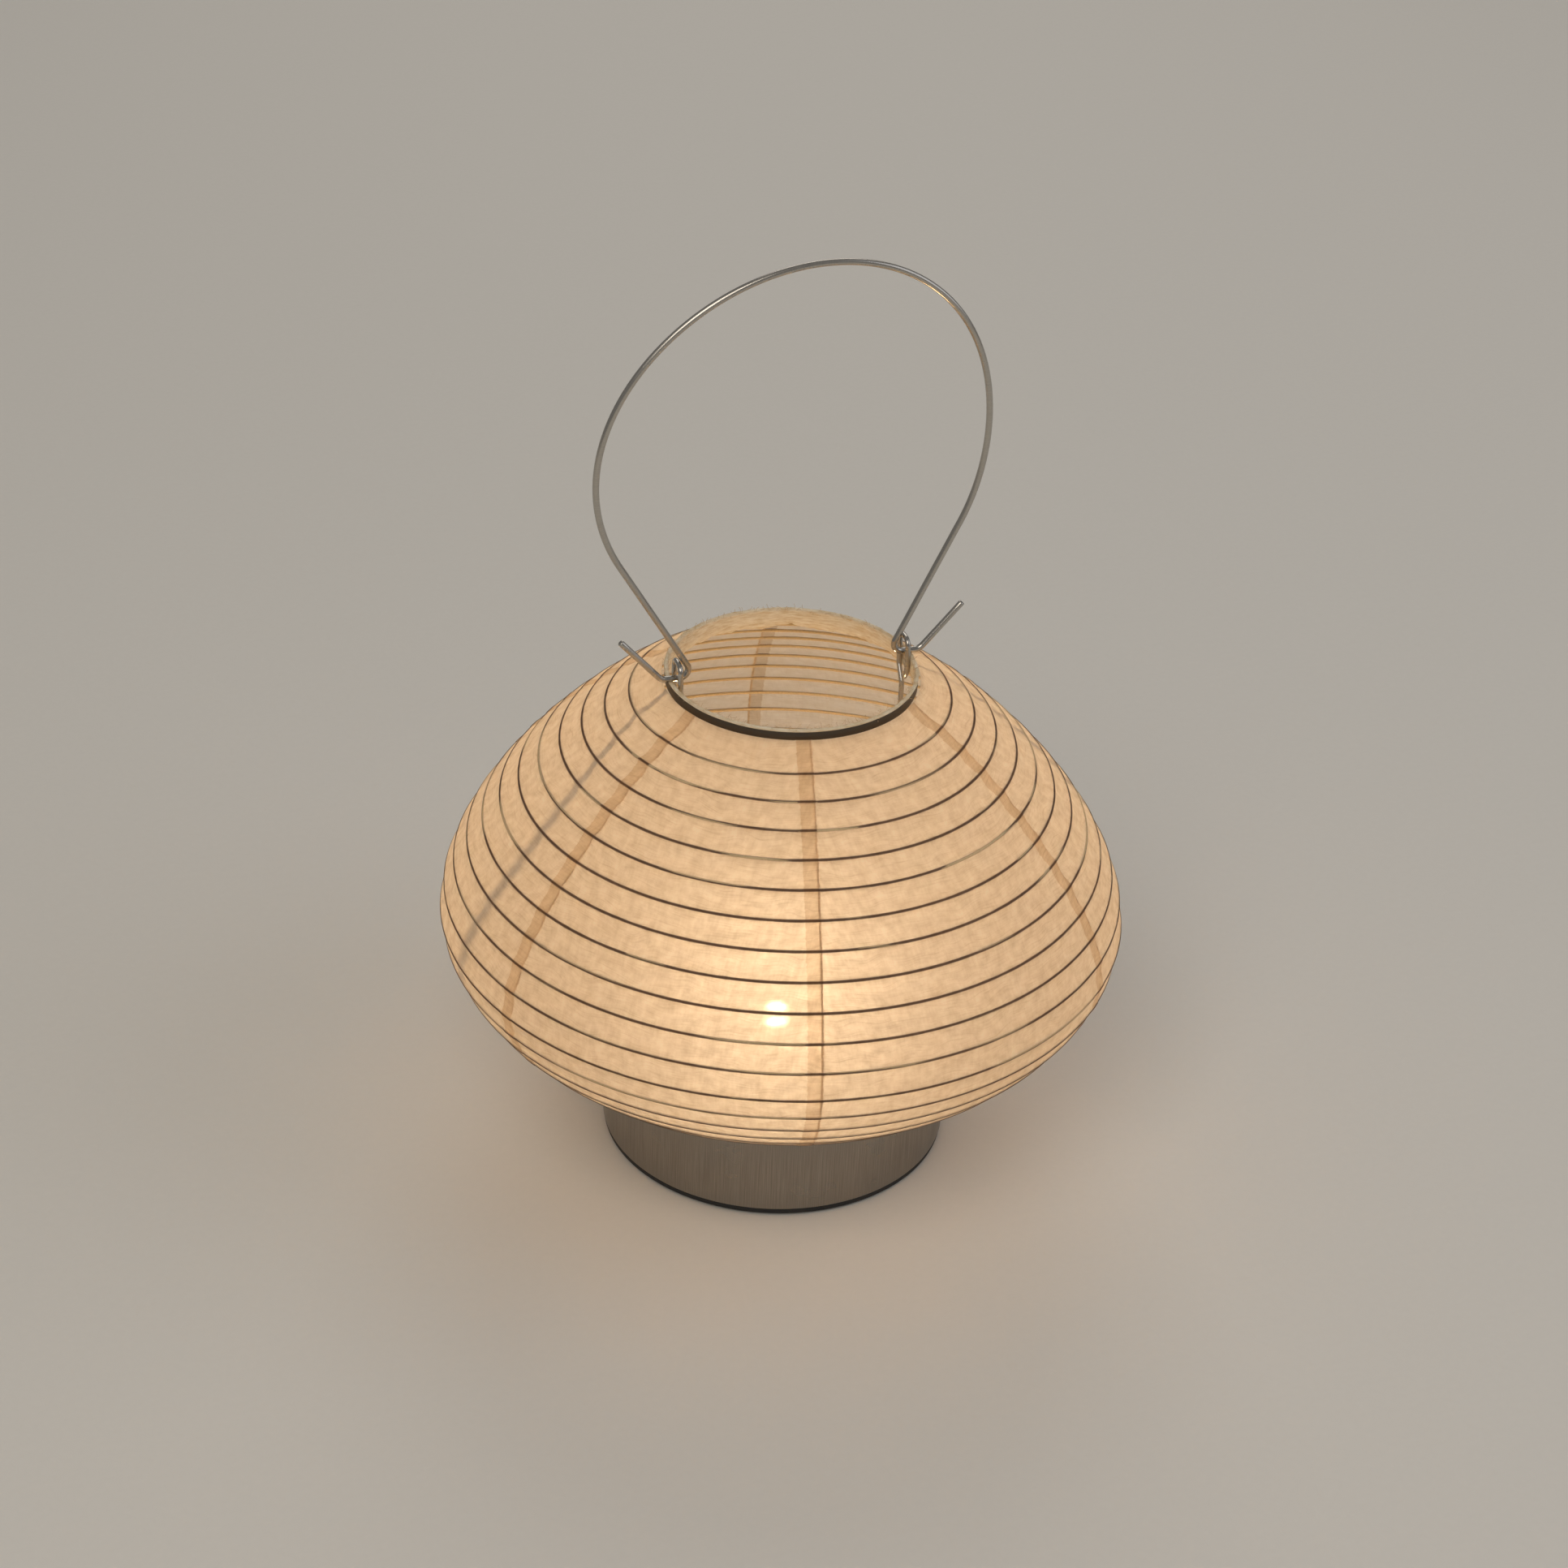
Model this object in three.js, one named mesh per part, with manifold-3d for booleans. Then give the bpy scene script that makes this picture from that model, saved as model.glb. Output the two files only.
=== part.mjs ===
// Accordion paper lantern: a ribbed paper shade on a round battery base, held open by two
// wire uprights whose eyelets carry a swinging wire bail.
// Millimetres, +Z up. The origin is on the floor under the middle of the base, and the
// bail's hinge line runs along X.
import * as THREE from 'three';
import { mergeVertices } from 'three/addons/utils/BufferGeometryUtils.js';
import Module from 'manifold-3d';

const wasm = await Module();
wasm.setup();

// ---------------------------------------------------------------- driving dimensions

const GAP = 0.3; // clearance between neighbouring pieces

const SHADE = {
  gores: 6, // paper panels round the shade
  seamAt: -12.5, // azimuth of the first seam, degrees from -Y towards +X
  facets: 30, // straight facets round the shade, a multiple of the gores
  paper: 0.4, // paper and its glue
  mouthRadius: 44, mouthZ: 183.5,
  equatorRadius: 120.4, equatorZ: 93,
  footRadius: 60.2, footZ: 41.2,
  upperRibs: 12, // ribs above the equator, the equator's own among them
  lowerRibs: 9,
  firstBay: 12.7, // paper between the mouth and the first rib, along the surface
};
const RIB_RADIUS = 0.6;
const RING = { height: 4, thickness: 1 };
const MOUTH_RING = { outer: 43, top: 186 };
const FOOT_RING = { outer: 58.7, top: 42.8 };

const BASE = {
  radius: 62, wall: 0.8, skirtZ: 3.3, shoulderZ: 38.5, shoulderRound: 1.5,
  neckRadius: 57.2, deckZ: 43, lampHole: 9,
};
const TRAY = { bottom: 1, floorTop: 4.5, flange: 61.7, flangeTop: 3, spigotTop: 9, wall: 1.5 };
const FOOT_PAD = { radius: 4.5, top: 2.2, circle: 53 };
const POST = { radius: 3.3, hole: 1.8, circle: 48, top: 41.9 };
const DECK_SCREW = { head: 2.8, shank: 1.5, tip: 34, headHeight: 1.7 };
const GROMMET = { hole: 3, body: 2.7, flange: 4.2, bore: 1.2, bottom: 40.8, top: 44.6 };
const LAMP = {
  board: 8.5, boardBottom: 40.6, boardTop: 42.2, led: 5, ledTop: 44,
  flange: 13, flangeTop: 44.5, dome: 8.6, domeTop: 52, wall: 0.8,
};

const CELL = { radius: 7.1, length: 50.5, nub: 2.7, nubLength: 1.2, pitch: 15, z: 10.6 };
const BAY = { halfX: 23.2, halfY: 29.5, roof: 18.6, wall: 1.5 };
const DOOR = { halfX: 26, halfY: 33, top: 3, tabHalfX: 6, tabY: 40, screwY: 35.8 };
const SWITCH = { y: -45, rest: -2, travel: 4, bodyTop: 11 };

const UPRIGHT = { x: 40.2, radius: 0.9, bottom: 8, stemTop: 175 };
const EYELET = { halfWidth: 3.9, top: 193.2, shoulder: 181 };
const BAIL = {
  radius: 1.1, hingeZ: 187.5, loopRadius: 67, legLean: 28.5, hookInner: 39.5, hookOuter: 44, hookBend: 3,
  tailBend: 4, tailRise: 48, tailLength: 20,
};

// ---------------------------------------------------------------- geometry helpers

const rad = THREE.MathUtils.degToRad;

/** Deletes everything but position and shares the vertices that coincide. */
function merged(geometry) {
  const plain = geometry.index ? geometry.clone() : geometry;
  for (const name of Object.keys(plain.attributes)) {
    if (name !== 'position') plain.deleteAttribute(name);
  }
  return mergeVertices(plain, 1e-4);
}

/** Turns a closed geometry into a solid for cutting and joining. */
function solid(geometry) {
  const shared = merged(geometry);
  const vertProperties = new Float32Array(shared.attributes.position.array);
  const index = Array.from(shared.index.array);
  const triVerts = [];
  for (let i = 0; i < index.length; i += 3) {
    const [a, b, c] = index.slice(i, i + 3);
    if (a !== b && b !== c && c !== a) triVerts.push(a, b, c);
  }
  return new wasm.Manifold(new wasm.Mesh({
    numProp: 3, vertProperties, triVerts: new Uint32Array(triVerts),
  }));
}

/** Turns a solid back into a flat-shaded geometry. */
function geometryOf(manifold) {
  const mesh = manifold.getMesh();
  const geometry = new THREE.BufferGeometry();
  geometry.setAttribute('position', new THREE.BufferAttribute(mesh.vertProperties, 3));
  geometry.setIndex(new THREE.BufferAttribute(mesh.triVerts, 1));
  geometry.computeVertexNormals();
  return geometry;
}

/** Cuts every tool out of a body. */
function cut(body, tools) {
  return tools.reduce((rest, tool) => rest.subtract(tool), body);
}

/** Joins every piece to a body. */
function join(body, pieces) {
  return pieces.reduce((whole, piece) => whole.add(piece), body);
}

/** Twice the signed area of an outline of [x, y] pairs. */
function turning(outline) {
  return outline.reduce((sum, [x, y], i) => {
    const [nextX, nextY] = outline[(i + 1) % outline.length];
    return sum + x * nextY - nextX * y;
  }, 0);
}

/**
 * Revolves an outline of [radius, z] pairs about Z. The outline closes on itself, or starts
 * and ends on the axis.
 */
function revolved(outline, segments) {
  const points = outline.map(([r, z]) => new THREE.Vector2(r, z));
  if (turning(outline) < 0) points.reverse();
  const onAxis = outline[0][0] === 0 && outline[outline.length - 1][0] === 0;
  if (!onAxis) points.push(points[0].clone());
  return new THREE.LatheGeometry(points, segments).rotateX(Math.PI / 2);
}

/** Revolves an outline of [radius, z] pairs through part of a turn and closes both ends. */
function sector(outline, startDeg, sweepDeg, segments) {
  const points = turning(outline) < 0 ? [...outline].reverse() : outline;
  const count = points.length;
  const position = [];
  const index = [];
  for (let j = 0; j <= segments; j += 1) {
    const phi = rad(startDeg + (sweepDeg * j) / segments);
    for (const [r, z] of points) position.push(r * Math.sin(phi), -r * Math.cos(phi), z);
  }
  for (let j = 0; j < segments; j += 1) {
    for (let i = 0; i < count; i += 1) {
      const a = j * count + i;
      const b = j * count + ((i + 1) % count);
      index.push(a, a + count, b, b, a + count, b + count);
    }
  }
  const caps = THREE.ShapeUtils.triangulateShape(points.map(([r, z]) => new THREE.Vector2(r, z)), []);
  for (const [a, b, c] of caps) {
    const end = segments * count;
    index.push(a, b, c, c + end, b + end, a + end);
  }
  const geometry = new THREE.BufferGeometry();
  geometry.setAttribute('position', new THREE.Float32BufferAttribute(position, 3));
  geometry.setIndex(index);
  geometry.computeVertexNormals();
  return geometry;
}

/** An upright cylinder between two heights. */
function rod(radius, bottom, top, x = 0, y = 0, segments = 16) {
  return new THREE.CylinderGeometry(radius, radius, top - bottom, segments)
    .rotateX(Math.PI / 2).translate(x, y, (top + bottom) / 2);
}

/** A box between two corners. */
function block([x0, y0, z0], [x1, y1, z1]) {
  return new THREE.BoxGeometry(x1 - x0, y1 - y0, z1 - z0)
    .translate((x0 + x1) / 2, (y0 + y1) / 2, (z0 + z1) / 2);
}

/** A flat plate: an outline of [x, y] pairs between two heights. */
function plate(outline, bottom, top) {
  const shape = new THREE.Shape(outline.map(([x, y]) => new THREE.Vector2(x, y)));
  return new THREE.ExtrudeGeometry(shape, { depth: top - bottom, bevelEnabled: false, steps: 1 })
    .translate(0, 0, bottom);
}

/** A wire's centre line, with a section at each of its stations and nowhere else. */
class WirePath extends THREE.Curve {
  constructor(stations) {
    super();
    this.stations = stations;
  }

  getPoint(t) {
    const at = t * (this.stations.length - 1);
    const i = Math.min(Math.floor(at), this.stations.length - 2);
    return this.stations[i].clone().lerp(this.stations[i + 1], at - i);
  }

  getPointAt(u) {
    return this.getPoint(u);
  }

  getTangentAt(u) {
    const last = this.stations.length - 1;
    const i = Math.round(u * last);
    const here = this.stations[i];
    const tangent = new THREE.Vector3();
    if (i > 0) tangent.add(here.clone().sub(this.stations[i - 1]).normalize());
    if (i < last) tangent.add(this.stations[i + 1].clone().sub(here).normalize());
    return tangent.normalize();
  }
}

/** Stations along straight runs between corners, with a round bend at each inner corner. */
function bent(corners, bendRadius, bendSteps = 4) {
  const points = corners.map(([x, y, z]) => new THREE.Vector3(x, y, z));
  const stations = [points[0]];
  for (let i = 1; i < points.length - 1; i += 1) {
    const before = points[i - 1].clone().sub(points[i]).normalize();
    const after = points[i + 1].clone().sub(points[i]).normalize();
    const half = before.angleTo(after) / 2;
    const middle = before.clone().add(after).normalize();
    const centre = points[i].clone().addScaledVector(middle, bendRadius / Math.sin(half));
    const start = points[i].clone().addScaledVector(before, bendRadius / Math.tan(half)).sub(centre);
    const axis = after.clone().cross(before).normalize();
    for (let k = 0; k <= bendSteps; k += 1) {
      const angle = ((Math.PI - 2 * half) * k) / bendSteps;
      stations.push(start.clone().applyAxisAngle(axis, angle).add(centre));
    }
  }
  return [...stations, points[points.length - 1]];
}

/** A round wire along its stations, with flat ends. */
function wire(stations, radius, sides) {
  const section = new THREE.Shape();
  for (let k = 0; k < sides; k += 1) {
    const angle = (2 * Math.PI * k) / sides;
    const [x, y] = [radius * Math.cos(angle), radius * Math.sin(angle)];
    if (k === 0) section.moveTo(x, y);
    else section.lineTo(x, y);
  }
  const path = new WirePath(stations);
  return new THREE.ExtrudeGeometry(section, { steps: stations.length - 1, extrudePath: path });
}

// ---------------------------------------------------------------- materials

const finish = (color, roughness, metalness) => new THREE.MeshStandardMaterial({ color, roughness, metalness });

const PAPER = finish('#ecd9b4', 0.85, 0);
const RIB_WIRE = finish('#5a3f2a', 0.6, 0.3);
const STEEL = finish('#b9b2a8', 0.35, 1);
const BLACK_ABS = finish('#1b1b1c', 0.6, 0);
const RUBBER = finish('#111111', 0.85, 0);
const ZINC = finish('#b5b7ba', 0.4, 1);
const CELL_WRAP = finish('#4d6a54', 0.4, 0.1);
const BRASS = finish('#c7a45a', 0.35, 1);
const BOARD = finish('#2c5b3a', 0.5, 0);
const LENS = finish('#fff3dc', 0.3, 0);
const RED_LEAD = finish('#a82a22', 0.5, 0);
const BLACK_LEAD = finish('#202020', 0.5, 0);
const WHITE_PLASTIC = finish('#e8e6e0', 0.5, 0);

const lantern = new THREE.Group();

/** Adds one named piece to a group and returns it. */
function place(name, geometry, material, group = lantern) {
  const mesh = new THREE.Mesh(geometry, material);
  mesh.name = name;
  group.add(mesh);
  return mesh;
}

// ---------------------------------------------------------------- shade

const upperCurve = new THREE.CubicBezierCurve(
  new THREE.Vector2(SHADE.mouthRadius, SHADE.mouthZ),
  new THREE.Vector2(69, 173.3),
  new THREE.Vector2(SHADE.equatorRadius, 124.7),
  new THREE.Vector2(SHADE.equatorRadius, SHADE.equatorZ),
);
const lowerCurve = new THREE.CubicBezierCurve(
  new THREE.Vector2(SHADE.equatorRadius, SHADE.equatorZ),
  new THREE.Vector2(SHADE.equatorRadius, 77.2),
  new THREE.Vector2(100.5, 50.2),
  new THREE.Vector2(SHADE.footRadius, SHADE.footZ),
);

/** Points of the paper's mid-surface where a rib holds it, each with its outward normal. */
function ribStations() {
  const length = upperCurve.getLength();
  const pitch = (length - SHADE.firstBay) / (SHADE.upperRibs - 1);
  const stations = [];
  for (let i = 0; i < SHADE.upperRibs; i += 1) {
    stations.push([upperCurve, (SHADE.firstBay + i * pitch) / length]);
  }
  for (let i = 1; i <= SHADE.lowerRibs; i += 1) {
    stations.push([lowerCurve, i / (SHADE.lowerRibs + 1)]);
  }
  return stations.map(([curve, u]) => {
    const point = curve.getPointAt(Math.min(u, 1));
    const tangent = curve.getTangentAt(Math.min(u, 1));
    return { point, normal: new THREE.Vector2(-tangent.y, tangent.x) };
  });
}

const ribs = ribStations();

/** One rib: a closed hoop just inside the paper. */
function rib({ point, normal }) {
  const centre = point.clone().addScaledVector(normal, -(RIB_RADIUS + GAP + SHADE.paper / 2));
  const outline = [
    [centre.x + RIB_RADIUS, centre.y], [centre.x, centre.y + RIB_RADIUS],
    [centre.x - RIB_RADIUS, centre.y], [centre.x, centre.y - RIB_RADIUS],
  ];
  return revolved(outline, SHADE.facets).rotateZ(rad(SHADE.seamAt));
}

/** One gore of paper, straight from rib to rib. */
function gore(number) {
  const mouth = upperCurve.getPointAt(0);
  const foot = lowerCurve.getPointAt(1);
  const side = (sign) => [
    [mouth.x, mouth.y + (sign * SHADE.paper) / 2],
    ...ribs.map(({ point, normal }) => {
      const at = point.clone().addScaledVector(normal, (sign * SHADE.paper) / 2);
      return [at.x, at.y];
    }),
    [foot.x + (sign * SHADE.paper) / 2, foot.y - (sign * SHADE.paper) / 4],
  ];
  const outline = [...side(1), ...side(-1).reverse()];
  const sweep = 360 / SHADE.gores;
  const seam = 0.2; // degrees left open at each seam
  const start = SHADE.seamAt + sweep * number;
  return sector(outline, start + seam / 2, sweep - seam, SHADE.facets / SHADE.gores);
}

/** A flat hoop of band steel. */
function hoop({ outer, top }) {
  const inner = outer - RING.thickness;
  const bottom = top - RING.height;
  const outline = [[inner, bottom], [outer, bottom], [outer, top], [inner, top]];
  return revolved(outline, SHADE.facets).rotateZ(rad(SHADE.seamAt));
}

for (let i = 0; i < SHADE.gores; i += 1) place(`paper_gore_${i + 1}`, gore(i), PAPER);
ribs.forEach((station, i) => {
  place(`rib_${String(i + 1).padStart(2, '0')}`, rib(station), RIB_WIRE);
});
place('mouth_ring', hoop(MOUTH_RING), STEEL);
place('foot_ring', hoop(FOOT_RING), STEEL);

// ---------------------------------------------------------------- uprights and bail

/** One upright: a straight stem that ends in a tall narrow eyelet across the hinge line. */
function upright(x) {
  const bottom = EYELET.shoulder;
  const w = EYELET.halfWidth;
  const corners = [
    [x, 0, UPRIGHT.bottom], [x, 0, UPRIGHT.stemTop], [x, w, bottom], [x, w, EYELET.top],
    [x, -w, EYELET.top], [x, -w, bottom], [x, -w / 2, bottom - 3],
  ];
  return wire(bent(corners, 2.6, 4), UPRIGHT.radius, 6);
}

/** The bail: a round loop, two straight legs, and at each end a hook and a flared tail. */
function bail() {
  const lean = rad(BAIL.legLean);
  const rise = rad(BAIL.tailRise);
  const bendZ = BAIL.hingeZ + BAIL.hookBend;
  const legX = BAIL.hookInner - BAIL.hookBend * Math.cos(lean);
  const legZ = bendZ + BAIL.hookBend * Math.sin(lean);
  const loopX = BAIL.loopRadius * Math.cos(lean);
  const loopZ = legZ + (loopX - legX) / Math.tan(lean);
  const centreZ = loopZ + BAIL.loopRadius * Math.sin(lean);
  const half = [];
  const tailX = BAIL.hookOuter + BAIL.tailBend * Math.sin(rise);
  const tailZ = BAIL.hingeZ + BAIL.tailBend * (1 - Math.cos(rise));
  half.push([tailX + BAIL.tailLength * Math.cos(rise), tailZ + BAIL.tailLength * Math.sin(rise)]);
  for (let k = 3; k >= 0; k -= 1) {
    const a = (rise * k) / 3;
    half.push([
      BAIL.hookOuter + BAIL.tailBend * Math.sin(a), BAIL.hingeZ + BAIL.tailBend * (1 - Math.cos(a)),
    ]);
  }
  for (let k = 0; k <= 5; k += 1) {
    const a = (k / 5) * (Math.PI / 2 + lean);
    half.push([BAIL.hookInner - BAIL.hookBend * Math.sin(a), bendZ - BAIL.hookBend * Math.cos(a)]);
  }
  const loopSteps = 16;
  for (let k = 0; k < loopSteps; k += 1) {
    const a = -lean + (k / loopSteps) * (Math.PI / 2 + lean);
    half.push([BAIL.loopRadius * Math.cos(a), centreZ + BAIL.loopRadius * Math.sin(a)]);
  }
  const right = half.map(([x, z]) => new THREE.Vector3(x, 0, z));
  const left = half.map(([x, z]) => new THREE.Vector3(-x, 0, z)).reverse();
  const top = new THREE.Vector3(0, 0, centreZ + BAIL.loopRadius);
  return wire([...right, top, ...left], BAIL.radius, 8);
}

place('upright_left', upright(-UPRIGHT.x), STEEL);
place('upright_right', upright(UPRIGHT.x), STEEL);
place('bail', bail(), STEEL);

// ---------------------------------------------------------------- base

const postAngles = [90, 210, 330].map(rad);
const padAngles = [45, 135, 225, 315].map(rad);
const onCircle = (radius, angle) => [radius * Math.cos(angle), radius * Math.sin(angle)];

/** The drawn steel shell: skirt, shoulder, neck for the foot ring, and deck with its holes. */
function baseShell() {
  const { radius: r, wall, skirtZ, shoulderZ, shoulderRound, neckRadius, deckZ, lampHole } = BASE;
  const outline = [
    [r, skirtZ], [r, shoulderZ - shoulderRound], [r - shoulderRound * 0.3, shoulderZ - shoulderRound * 0.3],
    [r - shoulderRound, shoulderZ], [neckRadius, shoulderZ], [neckRadius, deckZ - 1],
    [neckRadius - 1, deckZ], [lampHole, deckZ], [lampHole, deckZ - wall],
    [neckRadius - 1 - wall / 2, deckZ - wall], [neckRadius - wall, deckZ - 1 - wall / 2],
    [neckRadius - wall, shoulderZ - wall], [r - shoulderRound - wall / 2, shoulderZ - wall],
    [r - wall, shoulderZ - shoulderRound - wall / 2], [r - wall, skirtZ],
  ];
  const holes = [
    ...postAngles.map((a) => solid(rod(POST.hole, deckZ - 3, deckZ + 3, ...onCircle(POST.circle, a), 12))),
    ...[-1, 1].map((s) => solid(rod(GROMMET.hole, deckZ - 3, deckZ + 3, s * UPRIGHT.x, 0, 16))),
  ];
  return geometryOf(cut(solid(revolved(outline, 40)), holes));
}

/** The tray: floor, flange, spigot, battery bay, screw posts and sockets, as one moulding. */
function bottomTray() {
  const { bottom, floorTop, flange, flangeTop, spigotTop, wall } = TRAY;
  const spigot = BASE.radius - BASE.wall - GAP;
  const dish = revolved([
    [0, bottom], [flange, bottom], [flange, flangeTop], [spigot, flangeTop], [spigot, spigotTop],
    [spigot - wall, spigotTop], [spigot - wall, floorTop], [0, floorTop],
  ], 40);
  const bayX = BAY.halfX + BAY.wall;
  const bayY = BAY.halfY + BAY.wall;
  const added = [
    block([-bayX, -bayY, floorTop - 1], [bayX, bayY, BAY.roof + BAY.wall]),
    ...postAngles.map((a) => rod(POST.radius, floorTop - 1, POST.top, ...onCircle(POST.circle, a), 12)),
    ...[-1, 1].map((s) => rod(POST.radius, floorTop - 1, 38, s * UPRIGHT.x, 0, 12)),
    rod(3.6, floorTop - 1, 13, 0, DOOR.screwY, 12),
  ];
  const wireHole = UPRIGHT.radius + GAP;
  const removed = [
    block([-BAY.halfX, -BAY.halfY, bottom - 1], [BAY.halfX, BAY.halfY, BAY.roof]),
    plate(doorOutline(GAP), bottom - 1, DOOR.top + GAP),
    rod(POST.hole, DOOR.top, 11.5, 0, DOOR.screwY, 12),
    ...postAngles.map((a) => rod(POST.hole, 32, POST.top + 1, ...onCircle(POST.circle, a), 12)),
    ...[-1, 1].map((s) => rod(wireHole, UPRIGHT.bottom - GAP, 39, s * UPRIGHT.x, 0, 12)),
    ...padAngles.map((a) => rod(FOOT_PAD.radius + GAP, bottom - 1, FOOT_PAD.top + GAP,
      ...onCircle(FOOT_PAD.circle, a), 16)),
    block([SWITCH.rest - 2.6, SWITCH.y - 1.9, bottom - 1],
      [SWITCH.rest + SWITCH.travel + 2.6, SWITCH.y + 1.9, floorTop + 1]),
  ];
  return geometryOf(cut(join(solid(dish), added.map(solid)), removed.map(solid)));
}

/** The battery door's outline, grown by a margin: a rectangle with a screw tab. */
function doorOutline(margin) {
  const x = DOOR.halfX + margin;
  const y = DOOR.halfY + margin;
  const tabX = DOOR.tabHalfX + margin;
  const tabY = DOOR.tabY + margin;
  return [[-x, -y], [x, -y], [x, y], [tabX, y], [tabX, tabY], [-tabX, tabY], [-tabX, y], [-x, y]];
}

/** The battery door, counterbored for its screw. */
function batteryDoor() {
  const body = solid(plate(doorOutline(0), TRAY.bottom, DOOR.top));
  return geometryOf(cut(body, [
    solid(rod(POST.hole, 0, DOOR.top + 1, 0, DOOR.screwY, 12)),
    solid(rod(3.1, 0, TRAY.bottom + 1.2, 0, DOOR.screwY, 16)),
  ]));
}

/** A pan-head screw with its tip down and the underside of its head at a height. */
function screw(x, y, seatZ, tipZ, headHeight, headRadius) {
  return revolved([
    [0, tipZ], [0.6, tipZ], [DECK_SCREW.shank, tipZ + 1.5], [DECK_SCREW.shank, seatZ],
    [headRadius, seatZ], [headRadius, seatZ + headHeight * 0.6],
    [headRadius * 0.7, seatZ + headHeight], [0, seatZ + headHeight],
  ], 12).translate(x, y, 0);
}

place('base_shell', baseShell(), STEEL);
place('bottom_tray', bottomTray(), BLACK_ABS);
place('battery_door', batteryDoor(), BLACK_ABS);
padAngles.forEach((angle, i) => {
  const pad = rod(FOOT_PAD.radius, 0, FOOT_PAD.top, ...onCircle(FOOT_PAD.circle, angle), 16);
  place(`foot_pad_${i + 1}`, pad, RUBBER);
});
postAngles.forEach((angle, i) => {
  const [x, y] = onCircle(POST.circle, angle);
  const head = screw(x, y, BASE.deckZ + GAP, DECK_SCREW.tip, DECK_SCREW.headHeight, DECK_SCREW.head);
  place(`deck_screw_${i + 1}`, head, ZINC);
});
// The door's screw points up: its head sits in the counterbore and its tip in the boss.
const doorScrew = screw(0, 0, 0, -8, 1, 2.7).rotateX(Math.PI)
  .translate(0, DOOR.screwY, TRAY.bottom + 1.2 - GAP);
place('door_screw', doorScrew, ZINC);
for (const [name, x] of [['grommet_left', -UPRIGHT.x], ['grommet_right', UPRIGHT.x]]) {
  const seat = BASE.deckZ + GAP;
  const outline = [
    [GROMMET.bore, GROMMET.bottom], [GROMMET.body, GROMMET.bottom], [GROMMET.body, seat],
    [GROMMET.flange, seat], [GROMMET.flange, GROMMET.top], [GROMMET.bore, GROMMET.top],
  ];
  place(name, revolved(outline, 16).translate(x, 0, 0), RUBBER);
}

// ---------------------------------------------------------------- lamp and battery

/** The lamp's cover: a thin dome with a flange that stands on the deck. */
function diffuser() {
  const { flange, flangeTop, dome, domeTop, wall } = LAMP;
  const seat = BASE.deckZ + GAP;
  const steps = 4;
  const arc = (radius, height) => Array.from({ length: steps }, (_, k) => {
    const a = (Math.PI / 2) * (k / steps);
    return [radius * Math.cos(a), flangeTop + height * Math.sin(a)];
  });
  const outer = [...arc(dome, domeTop - flangeTop), [0, domeTop]];
  const inner = [...arc(dome - wall, domeTop - flangeTop - wall), [0, domeTop - wall]].reverse();
  const rim = [[dome - wall, seat], [flange, seat], [flange, flangeTop]];
  return revolved([...inner, ...rim, ...outer], 18);
}

/** One AA cell along Y, its nub towards +Y or -Y. */
function cell(x, sign) {
  const { radius: r, length, nub, nubLength, z } = CELL;
  const end = length / 2;
  const can = end - nubLength;
  const outline = [
    [0, -end], [r - 0.6, -end], [r, -end + 0.6], [r, can - 0.6], [r - 0.6, can],
    [nub, can], [nub, end], [0, end],
  ];
  return revolved(outline, 16).rotateX((-sign * Math.PI) / 2).translate(x, 0, z);
}

/** A bowed strip contact behind one or two cells: its bows press on their ends. */
function contact(centres, sign) {
  const back = BAY.halfY - GAP;
  const thick = 0.4;
  const bow = back - CELL.length / 2 - GAP;
  const half = 5.5;
  const front = [];
  for (const x of centres) {
    front.push([x - half, back - thick], [x - 1.6, back - bow], [x + 1.6, back - bow], [x + half, back - thick]);
  }
  const rear = [...front].reverse().map(([x, y]) => [x, y + thick]);
  const outline = [...front, ...rear].map(([x, y]) => [x, sign * y]);
  return plate(sign > 0 ? outline : [...outline].reverse(), CELL.z - 4, CELL.z + 4);
}

place('diffuser_dome', diffuser(), LENS);
place('circuit_board', rod(LAMP.board, LAMP.boardBottom, LAMP.boardTop, 0, 0, 18), BOARD);
place('led_package', block([-LAMP.led / 2, -LAMP.led / 2, LAMP.boardTop + GAP],
  [LAMP.led / 2, LAMP.led / 2, LAMP.ledTop]), LENS);

[-CELL.pitch, 0, CELL.pitch].forEach((x, i) => {
  place(`battery_cell_${i + 1}`, cell(x, i === 1 ? -1 : 1), CELL_WRAP);
});
place('contact_positive', contact([CELL.pitch], 1), BRASS);
place('contact_bridge_front', contact([0, CELL.pitch], -1), BRASS);
place('contact_bridge_rear', contact([-CELL.pitch, 0], 1), BRASS);
place('contact_negative', contact([-CELL.pitch], -1), BRASS);

/** The slide switch's case, open below where the slider's neck runs. */
function switchBody() {
  const centre = SWITCH.rest + SWITCH.travel / 2;
  const bottom = TRAY.floorTop + GAP;
  const body = block([centre - 7, SWITCH.y - 3.5, bottom], [centre + 7, SWITCH.y + 3.5, SWITCH.bodyTop]);
  const slot = block([SWITCH.rest - 1.5, SWITCH.y - 1.9, bottom - 1],
    [SWITCH.rest + SWITCH.travel + 1.5, SWITCH.y + 1.9, bottom + 2.6]);
  return geometryOf(cut(solid(body), [solid(slot)]));
}

/** The switch's slider: a thumb pad below, recessed from the floor, and a neck above. */
function switchSlider() {
  const neckTop = TRAY.floorTop + GAP + 2;
  const outline = [[-2.2, 1.5], [2.2, 1.5], [2.2, 3.2], [1.1, 3.2], [1.1, neckTop], [-1.1, neckTop], [-1.1, 3.2], [-2.2, 3.2]];
  return plate(outline, -1.5, 1.5).rotateX(Math.PI / 2).translate(SWITCH.rest, SWITCH.y, 0);
}

place('switch_body', switchBody(), BLACK_ABS);
place('switch_slider', switchSlider(), WHITE_PLASTIC);

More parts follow.
